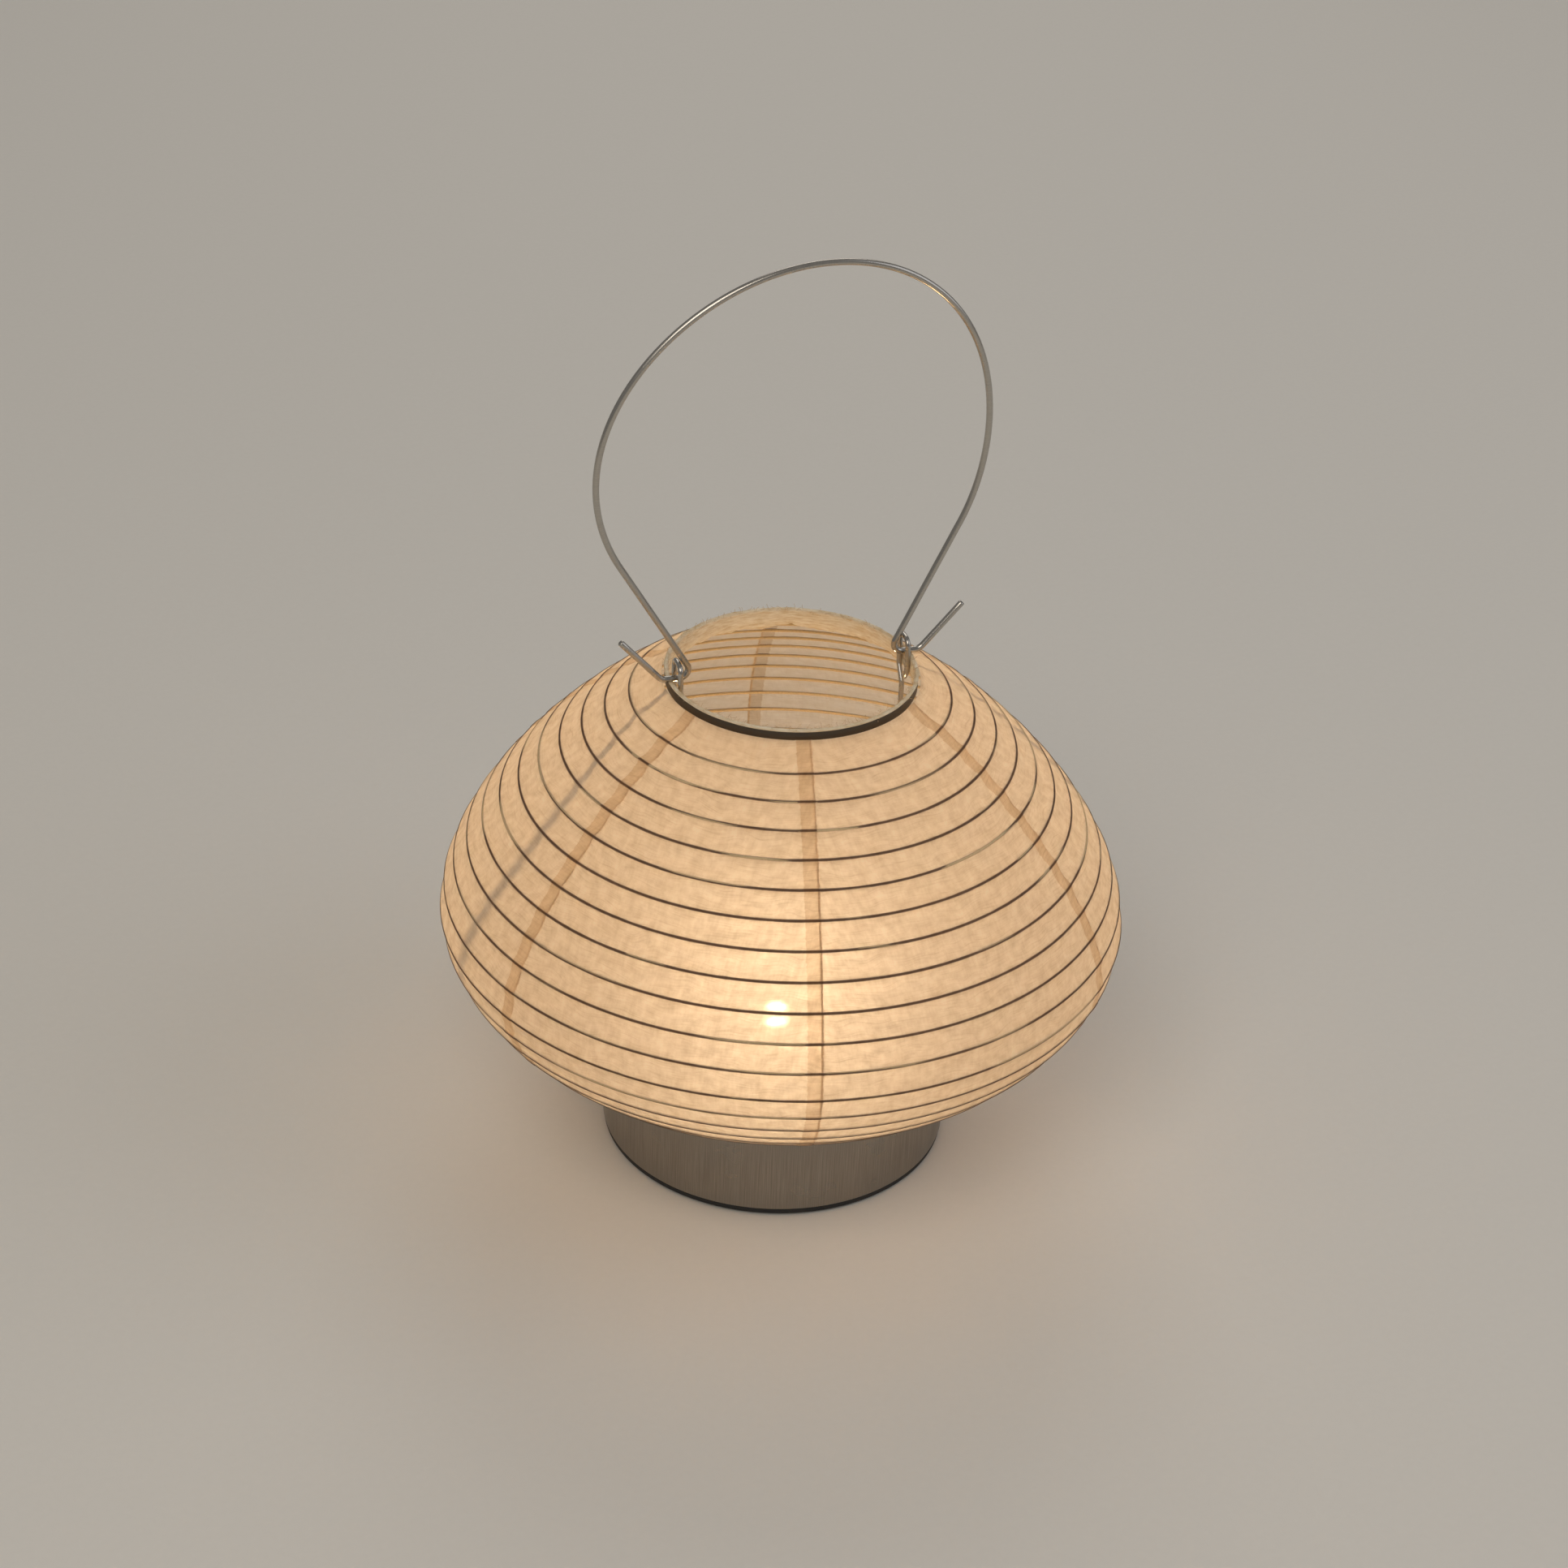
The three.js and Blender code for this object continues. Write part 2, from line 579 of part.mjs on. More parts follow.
const leadEnd = LAMP.boardBottom - GAP;
const redRoute = [[CELL.pitch, 33, 12], [CELL.pitch, 33, 27], [5, 5, 27], [5, 5, leadEnd]];
const blackRoute = [[-4, SWITCH.y, SWITCH.bodyTop + 1], [-4, SWITCH.y, 27], [-5, -5, 27], [-5, -5, leadEnd]];
place('lead_positive', wire(bent(redRoute, 3, 3), 0.7, 6), RED_LEAD);
place('lead_negative', wire(bent(blackRoute, 3, 3), 0.7, 6), BLACK_LEAD);

export default lantern;
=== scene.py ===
"""Accordion paper lantern: the fine shape and finish of every piece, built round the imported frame.

Lengths are in metres unless a name ends in _mm. +Z is up and the bail's hinge line runs along X.
"""

import logging
import math
from dataclasses import dataclass
from enum import Enum

import bmesh
import bpy
import numpy as np
from mathutils import Matrix, Vector, noise


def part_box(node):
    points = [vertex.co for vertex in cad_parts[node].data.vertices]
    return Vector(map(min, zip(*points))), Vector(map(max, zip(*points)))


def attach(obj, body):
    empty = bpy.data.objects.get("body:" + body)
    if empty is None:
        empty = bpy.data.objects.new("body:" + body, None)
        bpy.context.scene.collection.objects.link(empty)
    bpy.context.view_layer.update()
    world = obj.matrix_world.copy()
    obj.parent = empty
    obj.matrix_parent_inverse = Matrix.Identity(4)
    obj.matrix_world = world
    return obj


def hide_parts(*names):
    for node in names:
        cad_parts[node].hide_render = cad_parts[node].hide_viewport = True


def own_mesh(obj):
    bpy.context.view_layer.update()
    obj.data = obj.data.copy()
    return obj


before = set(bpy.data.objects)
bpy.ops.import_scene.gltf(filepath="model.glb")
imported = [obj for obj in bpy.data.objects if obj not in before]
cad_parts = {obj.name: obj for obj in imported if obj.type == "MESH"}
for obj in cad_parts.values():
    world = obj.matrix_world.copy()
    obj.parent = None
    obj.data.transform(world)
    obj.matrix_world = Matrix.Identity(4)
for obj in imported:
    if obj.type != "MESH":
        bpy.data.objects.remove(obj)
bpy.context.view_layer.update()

LOG = logging.getLogger("lantern")
MM = 0.001
TURN = 2 * math.pi
QUARTER = math.pi / 2
# Where the rings of a wire's rounded end lie, in radians from its tip.
ROUND_OVER = (0.3, 0.75, 1.15)

Piece = bpy.types.Object
Node = bpy.types.Node
Socket = bpy.types.NodeSocket
Point = tuple[float, float, float]
Outline = list[tuple[float, float]]


# ------------------------------------------------------------------ small tools


def linear(hex_colour: str) -> tuple[float, float, float, float]:
    """Turn an sRGB hex colour, six digits with a leading #, into linear RGBA with an alpha of 1."""
    parts = [int(hex_colour[i : i + 2], 16) / 255 for i in (1, 3, 5)]
    made = [c / 12.92 if c <= 0.04045 else ((c + 0.055) / 1.055) ** 2.4 for c in parts]
    return (*made, 1.0)


def per_mm(size_mm: float) -> float:
    """Give the texture scale at which one feature is this many millimetres wide."""
    return 1 / (size_mm * MM)


def box_size(node: str) -> tuple[Vector, Vector, Vector]:
    """Give a CAD node's lowest corner, highest corner and size."""
    low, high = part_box(node)
    return low, high, high - low


def mount(piece: Piece, body: str, slot: str, *nodes: str) -> None:
    """Set what a piece rides on, and hide the CAD nodes that it stands for."""
    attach(piece, body)
    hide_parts(*nodes)


@dataclass
class Nodes:
    """Adds nodes to one tree; a node given as an input feeds it from its first live output."""

    tree: bpy.types.NodeTree

    def add(self, kind: str, inputs: dict | None = None, **settings: object) -> Node:
        """Add one node.

        Args:
            kind: The node's type.
            inputs: Socket name or index to a value, or to the node or socket that feeds it.
            **settings: The node's own properties.

        Returns:
            The new node.
        """
        node = self.tree.nodes.new(kind)
        for name, value in settings.items():
            setattr(node, name, value)
        for key, value in (inputs or {}).items():
            if isinstance(value, Node):
                value = next(socket for socket in value.outputs if socket.enabled)
            if isinstance(value, Socket):
                self.tree.links.new(value, node.inputs[key])
            else:
                node.inputs[key].default_value = value
        return node

    def noise(self, where: object, scale: float, detail: float, rough: float = 0.5, way: str = "2D") -> Node:
        """Add a noise texture, by default one on the flat map."""
        values = {"Vector": where, "Scale": scale, "Detail": detail, "Roughness": rough}
        return self.add("ShaderNodeTexNoise", values, noise_dimensions=way)

    def stretched(self, where: Socket, x_mm: float, y_mm: float, z_mm: float = 1000.0) -> Node:
        """Scale a place so that one noise feature has these sizes; a metre leaves its way alone."""
        scale = (per_mm(x_mm), per_mm(y_mm), per_mm(z_mm))
        return self.add("ShaderNodeMapping", {"Vector": where, "Scale": scale})

    def span(self, value: Node, low: float, high: float, out: tuple = (0.0, 1.0), **settings: object) -> Node:
        """Map a value between two limits to a new pair of limits."""
        values = {"Value": value, "From Min": low, "From Max": high, "To Min": out[0], "To Max": out[1]}
        return self.add("ShaderNodeMapRange", values, **settings)

    def blend(self, share: object, first: object, second: object, **settings: object) -> Node:
        """Mix two colours."""
        values = {"Factor": share, "A": first, "B": second}
        return self.add("ShaderNodeMix", values, data_type="RGBA", **settings)

    def scaled(self, value: Node, times: float, plus: object) -> Node:
        """Multiply a value and add another to it."""
        return self.add("ShaderNodeMath", {0: value, 1: times, 2: plus}, operation="MULTIPLY_ADD")

    def vector(self, operation: str, *values: object, **named: object) -> Node:
        """Work on one or two vectors."""
        return self.add("ShaderNodeVectorMath", {**dict(enumerate(values)), **named}, operation=operation)

    def bump(self, height: Node, strength: float, depth_mm: float) -> Node:
        """Raise a surface by a height of this depth."""
        values = {"Strength": strength, "Distance": depth_mm * MM, "Height": height}
        return self.add("ShaderNodeBump", values)

    def mark(self, name: str) -> Socket:
        """Read the number that each point of a piece keeps under a name."""
        return self.add("ShaderNodeAttribute", attribute_name=name).outputs["Fac"]

    def skin(self, colour: object, roughness: object, **others: object) -> Node:
        """Add a surface; an underscore in another input's name stands for a space."""
        values = {name.replace("_", " "): value for name, value in others.items()}
        return self.add("ShaderNodeBsdfPrincipled", {"Base Color": colour, "Roughness": roughness, **values})

    def along_z(self, value: object) -> Node:
        """Give a vector that points up."""
        return self.add("ShaderNodeCombineXYZ", {"Z": value})

    def moved(self, geometry: Node, **values: object) -> Node:
        """Move or turn geometry."""
        return self.add("GeometryNodeTransform", {"Geometry": geometry, **values})

    def tube(self, curve: Node, sides: int, radius: Socket, **values: object) -> Node:
        """Thicken a curve to a round wire."""
        section = self.add("GeometryNodeCurvePrimitiveCircle", {"Resolution": sides, "Radius": radius})
        return self.add("GeometryNodeCurveToMesh", {"Curve": curve, "Profile Curve": section, **values})

    def spread(self, low: object, high: object, seed: Socket) -> Node:
        """Give a random vector between two limits for each point."""
        values = {"Min": low, "Max": high, "Seed": seed}
        return self.add("FunctionNodeRandomValue", values, data_type="FLOAT_VECTOR")

    def finished(self, geometry: Node, finish: Socket) -> bpy.types.NodeTree:
        """End a geometry tree: real mesh in its finish."""
        real = self.add("GeometryNodeRealizeInstances", {"Geometry": geometry})
        dressed = self.add("GeometryNodeSetMaterial", {"Geometry": real, "Material": finish})
        self.add("NodeGroupOutput", {"Geometry": dressed})
        return self.tree


# ------------------------------------------------------------------ finishes


class Along(Enum):
    """Which way a metal's drawn or brushed lines run on its UV map."""

    AROUND = "around"
    UP = "up"


@dataclass(frozen=True)
class Finish:
    """A material: what it is made of, and how its surface was made."""

    name: str

    def material(self) -> bpy.types.Material:
        """Build the material once and give it back each time."""
        made = bpy.data.materials.get(self.name)
        if made is None:
            made = bpy.data.materials.new(self.name)
            made.use_nodes = True
            made.node_tree.nodes.clear()
            nodes = Nodes(made.node_tree)
            nodes.add("ShaderNodeOutputMaterial", {"Surface": self.shader(nodes)})
        return made

    def shader(self, nodes: Nodes) -> Node:
        """Build the shader; each kind of finish has its own."""
        raise NotImplementedError

    def tinted(self, colour: str, share: float) -> tuple[float, ...]:
        """Make a colour lighter by a share, or darker if the share is below 0."""
        return (*(min(1.0, c * (1 + share)) for c in linear(colour)[:3]), 1.0)


@dataclass(frozen=True)
class MulberryPaper(Finish):
    """Long-fibred mulberry paper, sheet-formed by hand: cloudy, stranded and translucent."""

    light: str = "#f0e2ce"
    dark: str = "#d4bf9f"
    # Paste along each hoop, with a painted shadow of the hoop behind it.
    hoop_paste_and_shadow: str = "#6f452c"
    # Paste on the lap, with painted shade for the light that its two layers block.
    lap_paste_and_painted_shade: str = "#ece2d4"
    lamp: str = "#ffe8cd"
    halo: float = 0.095
    core: float = 0.0035
    lap_mm: float = 5.4
    ragged_mm: float = 1.6
    cloud_mm: float = 4.2
    screen_mm: tuple[float, float] = (0.9, 7.0)
    strand_mm: tuple[float, float] = (13.0, 0.5)
    strand_bend_mm: float = 16.0
    strands_lie: tuple[float, ...] = (8.0, 67.0, 121.0)
    line_mm: float = 0.40
    line_waver_mm: float = 5.0
    through: float = 0.64
    glow: float = 0.02

    def strands(self, nodes: Nodes, flat: Socket, degrees: float) -> Node:
        """Give one family of long fibres.

        Args:
            nodes: The material's nodes.
            flat: Coordinates on the flat sheet.
            degrees: The way that the fibres lie.

        Returns:
            1 on a fibre and 0 between them.
        """
        bend = nodes.noise(flat, per_mm(self.strand_bend_mm), 1.0).outputs["Color"]
        shifted = nodes.vector("MULTIPLY_ADD", bend, (0.006, 0.006, 0.0), flat)
        turned = nodes.stretched(shifted, *self.strand_mm)
        turned.inputs["Rotation"].default_value = (0, 0, math.radians(degrees))
        turned.inputs["Location"].default_value = (degrees * 0.013, degrees * 0.007, 0)
        return nodes.span(nodes.noise(turned, 1.0, 1.0), 0.60, 0.76)

    def density(self, nodes: Nodes, flat: Socket) -> Node:
        """Give how thick the sheet is: clouds, the screen's streaks and long strands."""
        clouds = nodes.noise(flat, per_mm(self.cloud_mm), 3.0, 0.6)
        ways = (self.screen_mm, self.screen_mm[::-1])
        laid = [nodes.noise(nodes.stretched(flat, *way), 1.0, 1.0) for way in ways]
        screen = nodes.add("ShaderNodeMath", {0: laid[0], 1: laid[1]}, operation="ADD")
        made = nodes.scaled(clouds, 1.05, nodes.scaled(screen, 0.22, -0.22))
        for degrees in self.strands_lie:
            made = nodes.scaled(self.strands(nodes, flat, degrees), 0.16, made)
        return made

    def shader(self, nodes: Nodes) -> Node:
        """Mix light that comes off the sheet with light that comes through it."""
        flat = nodes.add("ShaderNodeUVMap", uv_map="UVMap").outputs[0]
        density = self.density(nodes, flat)
        thick = nodes.span(density, 0.28, 0.98, (0.0, 0.48))
        sheet = nodes.blend(thick, linear(self.light), linear(self.dark))
        # Paste, and a painted shade for the light that two layers block, darken the lap, whose edges are a
        # little ragged.
        reach = nodes.scaled(nodes.noise(flat, per_mm(self.ragged_mm), 3.0), 0.9 * MM, nodes.mark("lap_gap"))
        half = (0.5 * self.lap_mm + 0.45) * MM
        lap_paste_and_shade_mask = nodes.span(reach, half - 0.3 * MM, half, (1.0, 0.0))
        sheet = nodes.blend(lap_paste_and_shade_mask, sheet, linear(self.lap_paste_and_painted_shade), blend_type="MULTIPLY")
        # Paste darkens the sheet along each hoop, and a painted shadow stands for the lamp's light that the
        # hoop behind it blocks.
        line = self.line_mm * MM
        waver = nodes.noise(flat, per_mm(self.line_waver_mm), 2.0)
        edge = nodes.scaled(waver, -0.5 * line, nodes.mark("hoop_gap"))
        drawn = nodes.span(edge, 0.35 * line, 1.25 * line, (0.8, 0.0), interpolation_type="SMOOTHSTEP")
        tone = nodes.blend(drawn, sheet, linear(self.hoop_paste_and_shadow))
        # Painted lamp light: the sheet also glows by its lamp_light mark, as if lit from inside.
        lit = nodes.mark("lamp_light")
        power = nodes.add("ShaderNodeMath", {0: lit, 1: self.glow}, operation="MULTIPLY")
        glowing = nodes.blend(1.0, tone, linear(self.lamp), blend_type="MULTIPLY")
        relief = nodes.bump(density, 0.5, 0.06)
        emission = {"Emission_Color": glowing, "Emission_Strength": power}
        front = nodes.skin(tone, 0.9, IOR=1.45, Normal=relief, **emission)
        back = nodes.add("ShaderNodeBsdfTranslucent", {"Color": tone, "Normal": relief})
        shade = nodes.add("ShaderNodeMixShader", {0: self.through, 1: front, 2: back})
        # Some light passes nearly straight between the fibres, so the lamp shows as a soft bright spot.
        for share, roughness, bend in ((self.halo, 1.0, 1.45), (self.core, 0.45, 1.1)):
            thin = nodes.span(density, 0.3, 0.9, (1.5 * share, 0.5 * share))
            colour = nodes.add("ShaderNodeCombineColor", {0: thin, 1: thin, 2: thin})
            values = {"Color": colour, "Roughness": roughness, "IOR": bend}
            lobe = nodes.add("ShaderNodeBsdfRefraction", values)
            shade = nodes.add("ShaderNodeAddShader", {0: shade, 1: lobe})
        return shade


@dataclass(frozen=True)
class PastedPaper(Finish):
    """Layers of paper pasted over a steel hoop: tan with paste, stiff and fibrous."""

    light: str = "#f6e8cd"
    dark: str = "#dcc197"
    run_mm: float = 4.5
    fibre_mm: float = 0.7

    def shader(self, nodes: Nodes) -> Node:
        """Streak the colour and the relief round the hoop."""
        place = nodes.add("ShaderNodeTexCoord").outputs["Object"]
        stretched = nodes.stretched(place, self.run_mm, self.run_mm, self.fibre_mm)
        streak = nodes.noise(stretched, 1.0, 4.0, 0.65, "3D")
        tone = nodes.blend(nodes.span(streak, 0.35, 0.7), linear(self.dark), linear(self.light))
        return nodes.skin(tone, 0.85, Normal=nodes.bump(streak, 0.7, 0.15))


@dataclass(frozen=True)
class StreakedMetal(Finish):
    """A metal whose brush or die left fine lines one way: satin along them, soft across them."""

    colour: str
    roughness: float
    along: Along
    line_mm: float = 0.22
    run_mm: float = 22.0
    depth_mm: float = 0.012
    smudge_mm: float = 14.0
    tint: float = 0.18
    anisotropy: float = 0.45

    def shader(self, nodes: Nodes) -> Node:
        """Scratch a metal along one direction of its UV map."""
        flat = nodes.add("ShaderNodeUVMap", uv_map="UVMap").outputs[0]
        across = self.along is Along.UP
        sizes = (self.line_mm, self.run_mm) if across else (self.run_mm, self.line_mm)
        lines = nodes.noise(nodes.stretched(flat, *sizes), 1.0, 3.0, 0.7)
        smudge = nodes.noise(flat, per_mm(self.smudge_mm), 3.0)
        worn = self.tinted(self.colour, -self.tint)
        tone = nodes.blend(nodes.span(lines, 0.3, 0.7), worn, linear(self.colour))
        rough = nodes.span(smudge, 0.3, 0.7, (self.roughness - 0.05, self.roughness + 0.07))
        relief = nodes.bump(lines, 0.6, self.depth_mm)
        tangent = nodes.add("ShaderNodeTangent", direction_type="UV_MAP", uv_map="UVMap")
        return nodes.skin(
            tone, rough, Metallic=1.0, Anisotropic=self.anisotropy, Normal=relief, Tangent=tangent
        )


@dataclass(frozen=True)
class GrainedSkin(Finish):
    """A moulded, painted or plated skin: one colour with a fine grain that breaks up its shine."""

    colour: str
    roughness: float
    grain_mm: float
    depth_mm: float
    metallic: float = 0.0
    shift: float = 0.12
    coat: float = 0.0
    handling_mm: float = 18.0

    def shader(self, nodes: Nodes) -> Node:
        """Grain the colour, the shine and the relief by one noise."""
        place = nodes.add("ShaderNodeTexCoord").outputs["Object"]
        grain = nodes.noise(place, per_mm(self.grain_mm), 3.0, 0.6, "3D")
        handling = nodes.noise(place, per_mm(self.handling_mm), 2.0, way="3D")
        low, high = (self.tinted(self.colour, share) for share in (-self.shift, self.shift))
        tone = nodes.blend(grain, low, high)
        rough = nodes.span(handling, 0.3, 0.7, (self.roughness - 0.05, min(1.0, self.roughness + 0.05)))
        relief = nodes.bump(grain, 0.5, self.depth_mm)
        return nodes.skin(
            tone, rough, Metallic=self.metallic, Coat_Weight=self.coat, Coat_Roughness=0.15, Normal=relief
        )


@dataclass(frozen=True)
class LampPhosphor(Finish):
    """The lamp's phosphor pad: it gives off the lantern's warm light."""

    skin: str = "#f2d58c"
    colour: str = "#ffe8cd"
    strength: float = 9300.0

    def shader(self, nodes: Nodes) -> Node:
        """Give off light and reflect a little."""
        light = linear(self.colour)
        return nodes.skin(linear(self.skin), 0.5, Emission_Color=light, Emission_Strength=self.strength)


@dataclass(frozen=True)
class ClearDome(Finish):
    """A thin clear polycarbonate dome: nearly all light passes, a little glances off."""

    colour: str = "#fff6e6"
    gloss: float = 0.1

    def shader(self, nodes: Nodes) -> Node:
        """Mix a clear film with its gloss."""
        clear = nodes.add("ShaderNodeBsdfTransparent", {"Color": linear(self.colour)})
        gloss = nodes.skin(linear("#ffffff"), 0.12, IOR=1.58)
        return nodes.add("ShaderNodeMixShader", {0: self.gloss, 1: clear, 2: gloss})


# Mulberry paper: pale and cloudy, with visible strands, and warm where the lamp shines through.
PAPER = MulberryPaper("mulberry_paper_hand_formed")
# Pasted paper over steel: several tan layers, so no light comes through.
HEM_PAPER = PastedPaper("pasted_paper_hem")
# Iron hoop wire dipped in pale paint: matte, slightly lumpy.
HOOP_PAINT = GrainedSkin("painted_iron_hoop_wire", "#d8bd92", 0.7, 0.8, 0.05, shift=0.2)
# Rim fibres: loose ends of the mulberry bark that the paper was made of.
BARK_FIBRE = GrainedSkin("mulberry_bark_fibre", "#cfae80", 0.9, 0.5, 0.01)
# Cold-rolled band steel: dull, with rolling lines round the band.
BAND_STEEL = StreakedMetal("band_steel_rolled", "#5d564e", 0.38, Along.AROUND)
# Drawn steel wire: satin, with the die's lines running along it.
WIRE_STEEL = StreakedMetal(
    "steel_wire_drawn", "#bdb8b0", 0.26, Along.AROUND, line_mm=0.35, run_mm=40, tint=0.12
)
# Deep-drawn stainless steel, brushed upright with a fine belt.
SHELL_STEEL = StreakedMetal(
    "stainless_steel_brushed", "#a39d95", 0.32, Along.UP, line_mm=0.3, run_mm=26, depth_mm=0.02, tint=0.3
)
# Injection-moulded ABS with a spark-eroded grain: matte black.
TRAY_ABS = GrainedSkin("abs_moulded_black", "#1d1d1e", 0.55, 0.45, 0.03)
# Moulded rubber pads: deep black, no shine.
PAD_RUBBER = GrainedSkin("rubber_moulded", "#141414", 0.85, 0.6, 0.03)
# Zinc-plated steel screws: bright grey with a faint cloud.
SCREW_ZINC = GrainedSkin("steel_zinc_plated", "#b9bcc0", 0.33, 0.8, 0.01, metallic=1.0)
# Shrunk PVC sleeve on a dry cell: smooth and glossy.
CELL_SLEEVE = GrainedSkin("pvc_shrink_sleeve", "#3f5d46", 0.3, 1.5, 0.01, coat=0.4)
# Nickel-plated cell ends: bright steel.
CELL_NICKEL = GrainedSkin("nickel_plated_steel", "#c9c6be", 0.24, 0.9, 0.008, metallic=1.0)
# Nickel-brass strip contacts: yellow metal, faintly dulled.
CONTACT_BRASS = GrainedSkin("brass_strip_sprung", "#c9a357", 0.33, 0.7, 0.01, metallic=1.0)
# Solder-masked laminate: green lacquer over a weave too fine to see.
BOARD_MASK = GrainedSkin("laminate_solder_masked", "#20553a", 0.38, 0.3, 0.01, coat=0.3)
# White ceramic-filled lamp housing.
LAMP_CERAMIC = GrainedSkin("lamp_housing_ceramic", "#efece3", 0.5, 0.5, 0.01)
# Soft PVC lead insulation, extruded: smooth with a slight sheen.
LEAD_RED = GrainedSkin("pvc_insulation_red", "#b02a20", 0.4, 1.2, 0.01)
LEAD_BLACK = GrainedSkin("pvc_insulation_black", "#202021", 0.4, 1.2, 0.01)
# Acetal slider: white, slightly waxy.
SLIDER_ACETAL = GrainedSkin("acetal_moulded_white", "#e9e6de", 0.45, 0.5, 0.02)
PHOSPHOR = LampPhosphor("lamp_phosphor")
DOME_CLEAR = ClearDome("polycarbonate_clear")
# The floor: a matte painted board, plain and pale.
FLOOR_PAINT = GrainedSkin("matte_floor_paint", "#e9e5dd", 0.8, 3.0, 0.02, shift=0.02)


# ------------------------------------------------------------------ mesh tools


def new_piece(
    name: str, verts: np.ndarray, faces: list, finish: Finish, uvs: np.ndarray | None = None
) -> Piece:
    """Make a smooth piece from its points, with its place in its mesh.

    Args:
        name: The piece's name.
        verts: One row for each point, in metres.
        faces: Point numbers of each face, turning anticlockwise seen from outside.
        finish: What it is made of.
        uvs: One row for each face corner, in metres on the flat pattern.

    Returns:
        The new object, at the origin.
    """
    mesh = bpy.data.meshes.new(name)
    mesh.from_pydata([tuple(v) for v in verts], [], faces)
    if uvs is not None:
        layer = mesh.uv_layers.new(name="UVMap")
        layer.data.foreach_set("uv", np.asarray(uvs, np.float32).ravel())
    mesh.polygons.foreach_set("use_smooth", [True] * len(mesh.polygons))
    mesh.materials.append(finish.material())
    mesh.update()
    piece = bpy.data.objects.new(name, mesh)
    bpy.context.scene.collection.objects.link(piece)
    return piece


def grid_faces(rows: int, columns: int, round_rows: bool, round_columns: bool) -> list[tuple[int, ...]]:
    """Give the faces of a grid of points whose rows run along its second way.

    Args:
        rows: Points along the first way.
        columns: Points along the second way.
        round_rows: Whether the last row joins the first one.
        round_columns: Whether the last column joins the first one.

    Returns:
        Four point numbers for each face.
    """
    made = []
    for i in range(rows if round_rows else rows - 1):
        for j in range(columns if round_columns else columns - 1):
            a, b = i * columns + j, i * columns + (j + 1) % columns
            c, d = (i + 1) % rows * columns + (j + 1) % columns, (i + 1) % rows * columns + j
            made.append((a, b, c, d))
    return made


def grid_uvs(across: np.ndarray, along: np.ndarray, round_rows: bool, round_columns: bool) -> np.ndarray:
    """Give the corners' places on a flat map for the faces of grid_faces.

    Args:
        across: Map place along a row for each column, with one more if the columns are round.
        along: Map place of each row, with one more if the rows are round.
        round_rows: As in grid_faces; not used.
        round_columns: As in grid_faces; not used.

    Returns:
        One row for each face corner.
    """
    rows, columns = len(along) - 1, len(across) - 1
    corners = [(0, 0), (0, 1), (1, 1), (1, 0)]
    cells = [(i, j) for i in range(rows) for j in range(columns)]
    return np.array([(across[j + dj], along[i + di]) for i, j in cells for di, dj in corners])


def rounded(outline: Outline, radius: float, steps: int = 4, skip: tuple[int, ...] = ()) -> Outline:
    """Round the corners of a closed outline.

    Args:
        outline: Corners of the outline.
        radius: Radius of each corner, made smaller where an edge is short.
        steps: Pieces in each corner's arc.
        skip: Corners left sharp.

    Returns:
        The outline with its corners rounded.
    """
    made = []
    count = len(outline)
    for i in range(count):
        here, before, after = (Vector(outline[k % count]) for k in (i, i - 1, i + 1))
        back, on = before - here, after - here
        if i in skip or back.length < 1e-9 or on.length < 1e-9:
            made.append(tuple(here))
            continue
        half = back.angle(on) / 2
        if half > 1.5:
            made.append(tuple(here))
            continue
        reach = min(radius / math.tan(half), 0.45 * back.length, 0.45 * on.length)
        start, end = here + back.normalized() * reach, here + on.normalized() * reach
        for k in range(steps + 1):
            t = k / steps
            made.append(tuple(start * (1 - t) ** 2 + here * (2 * t * (1 - t)) + end * t**2))
    return made


def lathe(
    name: str,
    outline: Outline,
    finish: Finish,
    segments: int = 96,
    centre: Point = (0.0, 0.0, 0.0),
) -> Piece:
    """Turn a closed outline of radius and height about an upright axis.

    Args:
        name: The piece's name.
        outline: Pairs of radius and height; one that starts and ends on the axis closes there.
        finish: What it is made of.
        segments: Facets round the axis.
        centre: Where the axis stands, and the height that is added.

    Returns:
        The turned piece.
    """
    points = [Vector(p) for p in outline]
    area = sum(a.x * b.y - b.x * a.y for a, b in zip(points, points[1:] + points[:1]))
    if area < 0:
        points.reverse()
    steps = [(b - a).length for a, b in zip(points, points[1:] + points[:1])]
    along = np.concatenate([[0.0], np.cumsum(steps)])
    mean = max(p.x for p in points)
    across = np.linspace(0, TURN * mean, segments + 1)
    turn = np.linspace(0, TURN, segments, endpoint=False)
    radius = np.array([p.x for p in points])[:, None]
    height = np.array([p.y for p in points])[:, None]
    verts = np.stack([radius * np.cos(turn), radius * np.sin(turn), height + 0 * turn], axis=-1)
    faces = grid_faces(len(points), segments, True, True)
    uvs = grid_uvs(across, along, True, True)
    piece = new_piece(name, verts.reshape(-1, 3) + np.array(centre), faces, finish, uvs)
    return tidy(piece)


def tidy(piece: Piece, distance: float = 1e-6) -> Piece:
    """Merge the points that coincide, drop flat faces and loose edges, and turn the faces outwards."""
    made = bmesh.new()
    made.from_mesh(piece.data)
    bmesh.ops.remove_doubles(made, verts=made.verts, dist=distance)
    bmesh.ops.dissolve_degenerate(made, edges=made.edges, dist=distance)
    bmesh.ops.delete(made, geom=[e for e in made.edges if not e.link_faces], context="EDGES")
    bmesh.ops.recalc_face_normals(made, faces=made.faces)
    made.to_mesh(piece.data)
    made.free()
    return piece


def sharpen(piece: Piece, degrees: float = 35) -> Piece:
    """Shade a piece smoothly but keep the edges that turn more than an angle."""
    piece.data.set_sharp_from_angle(angle=math.radians(degrees))
    return piece


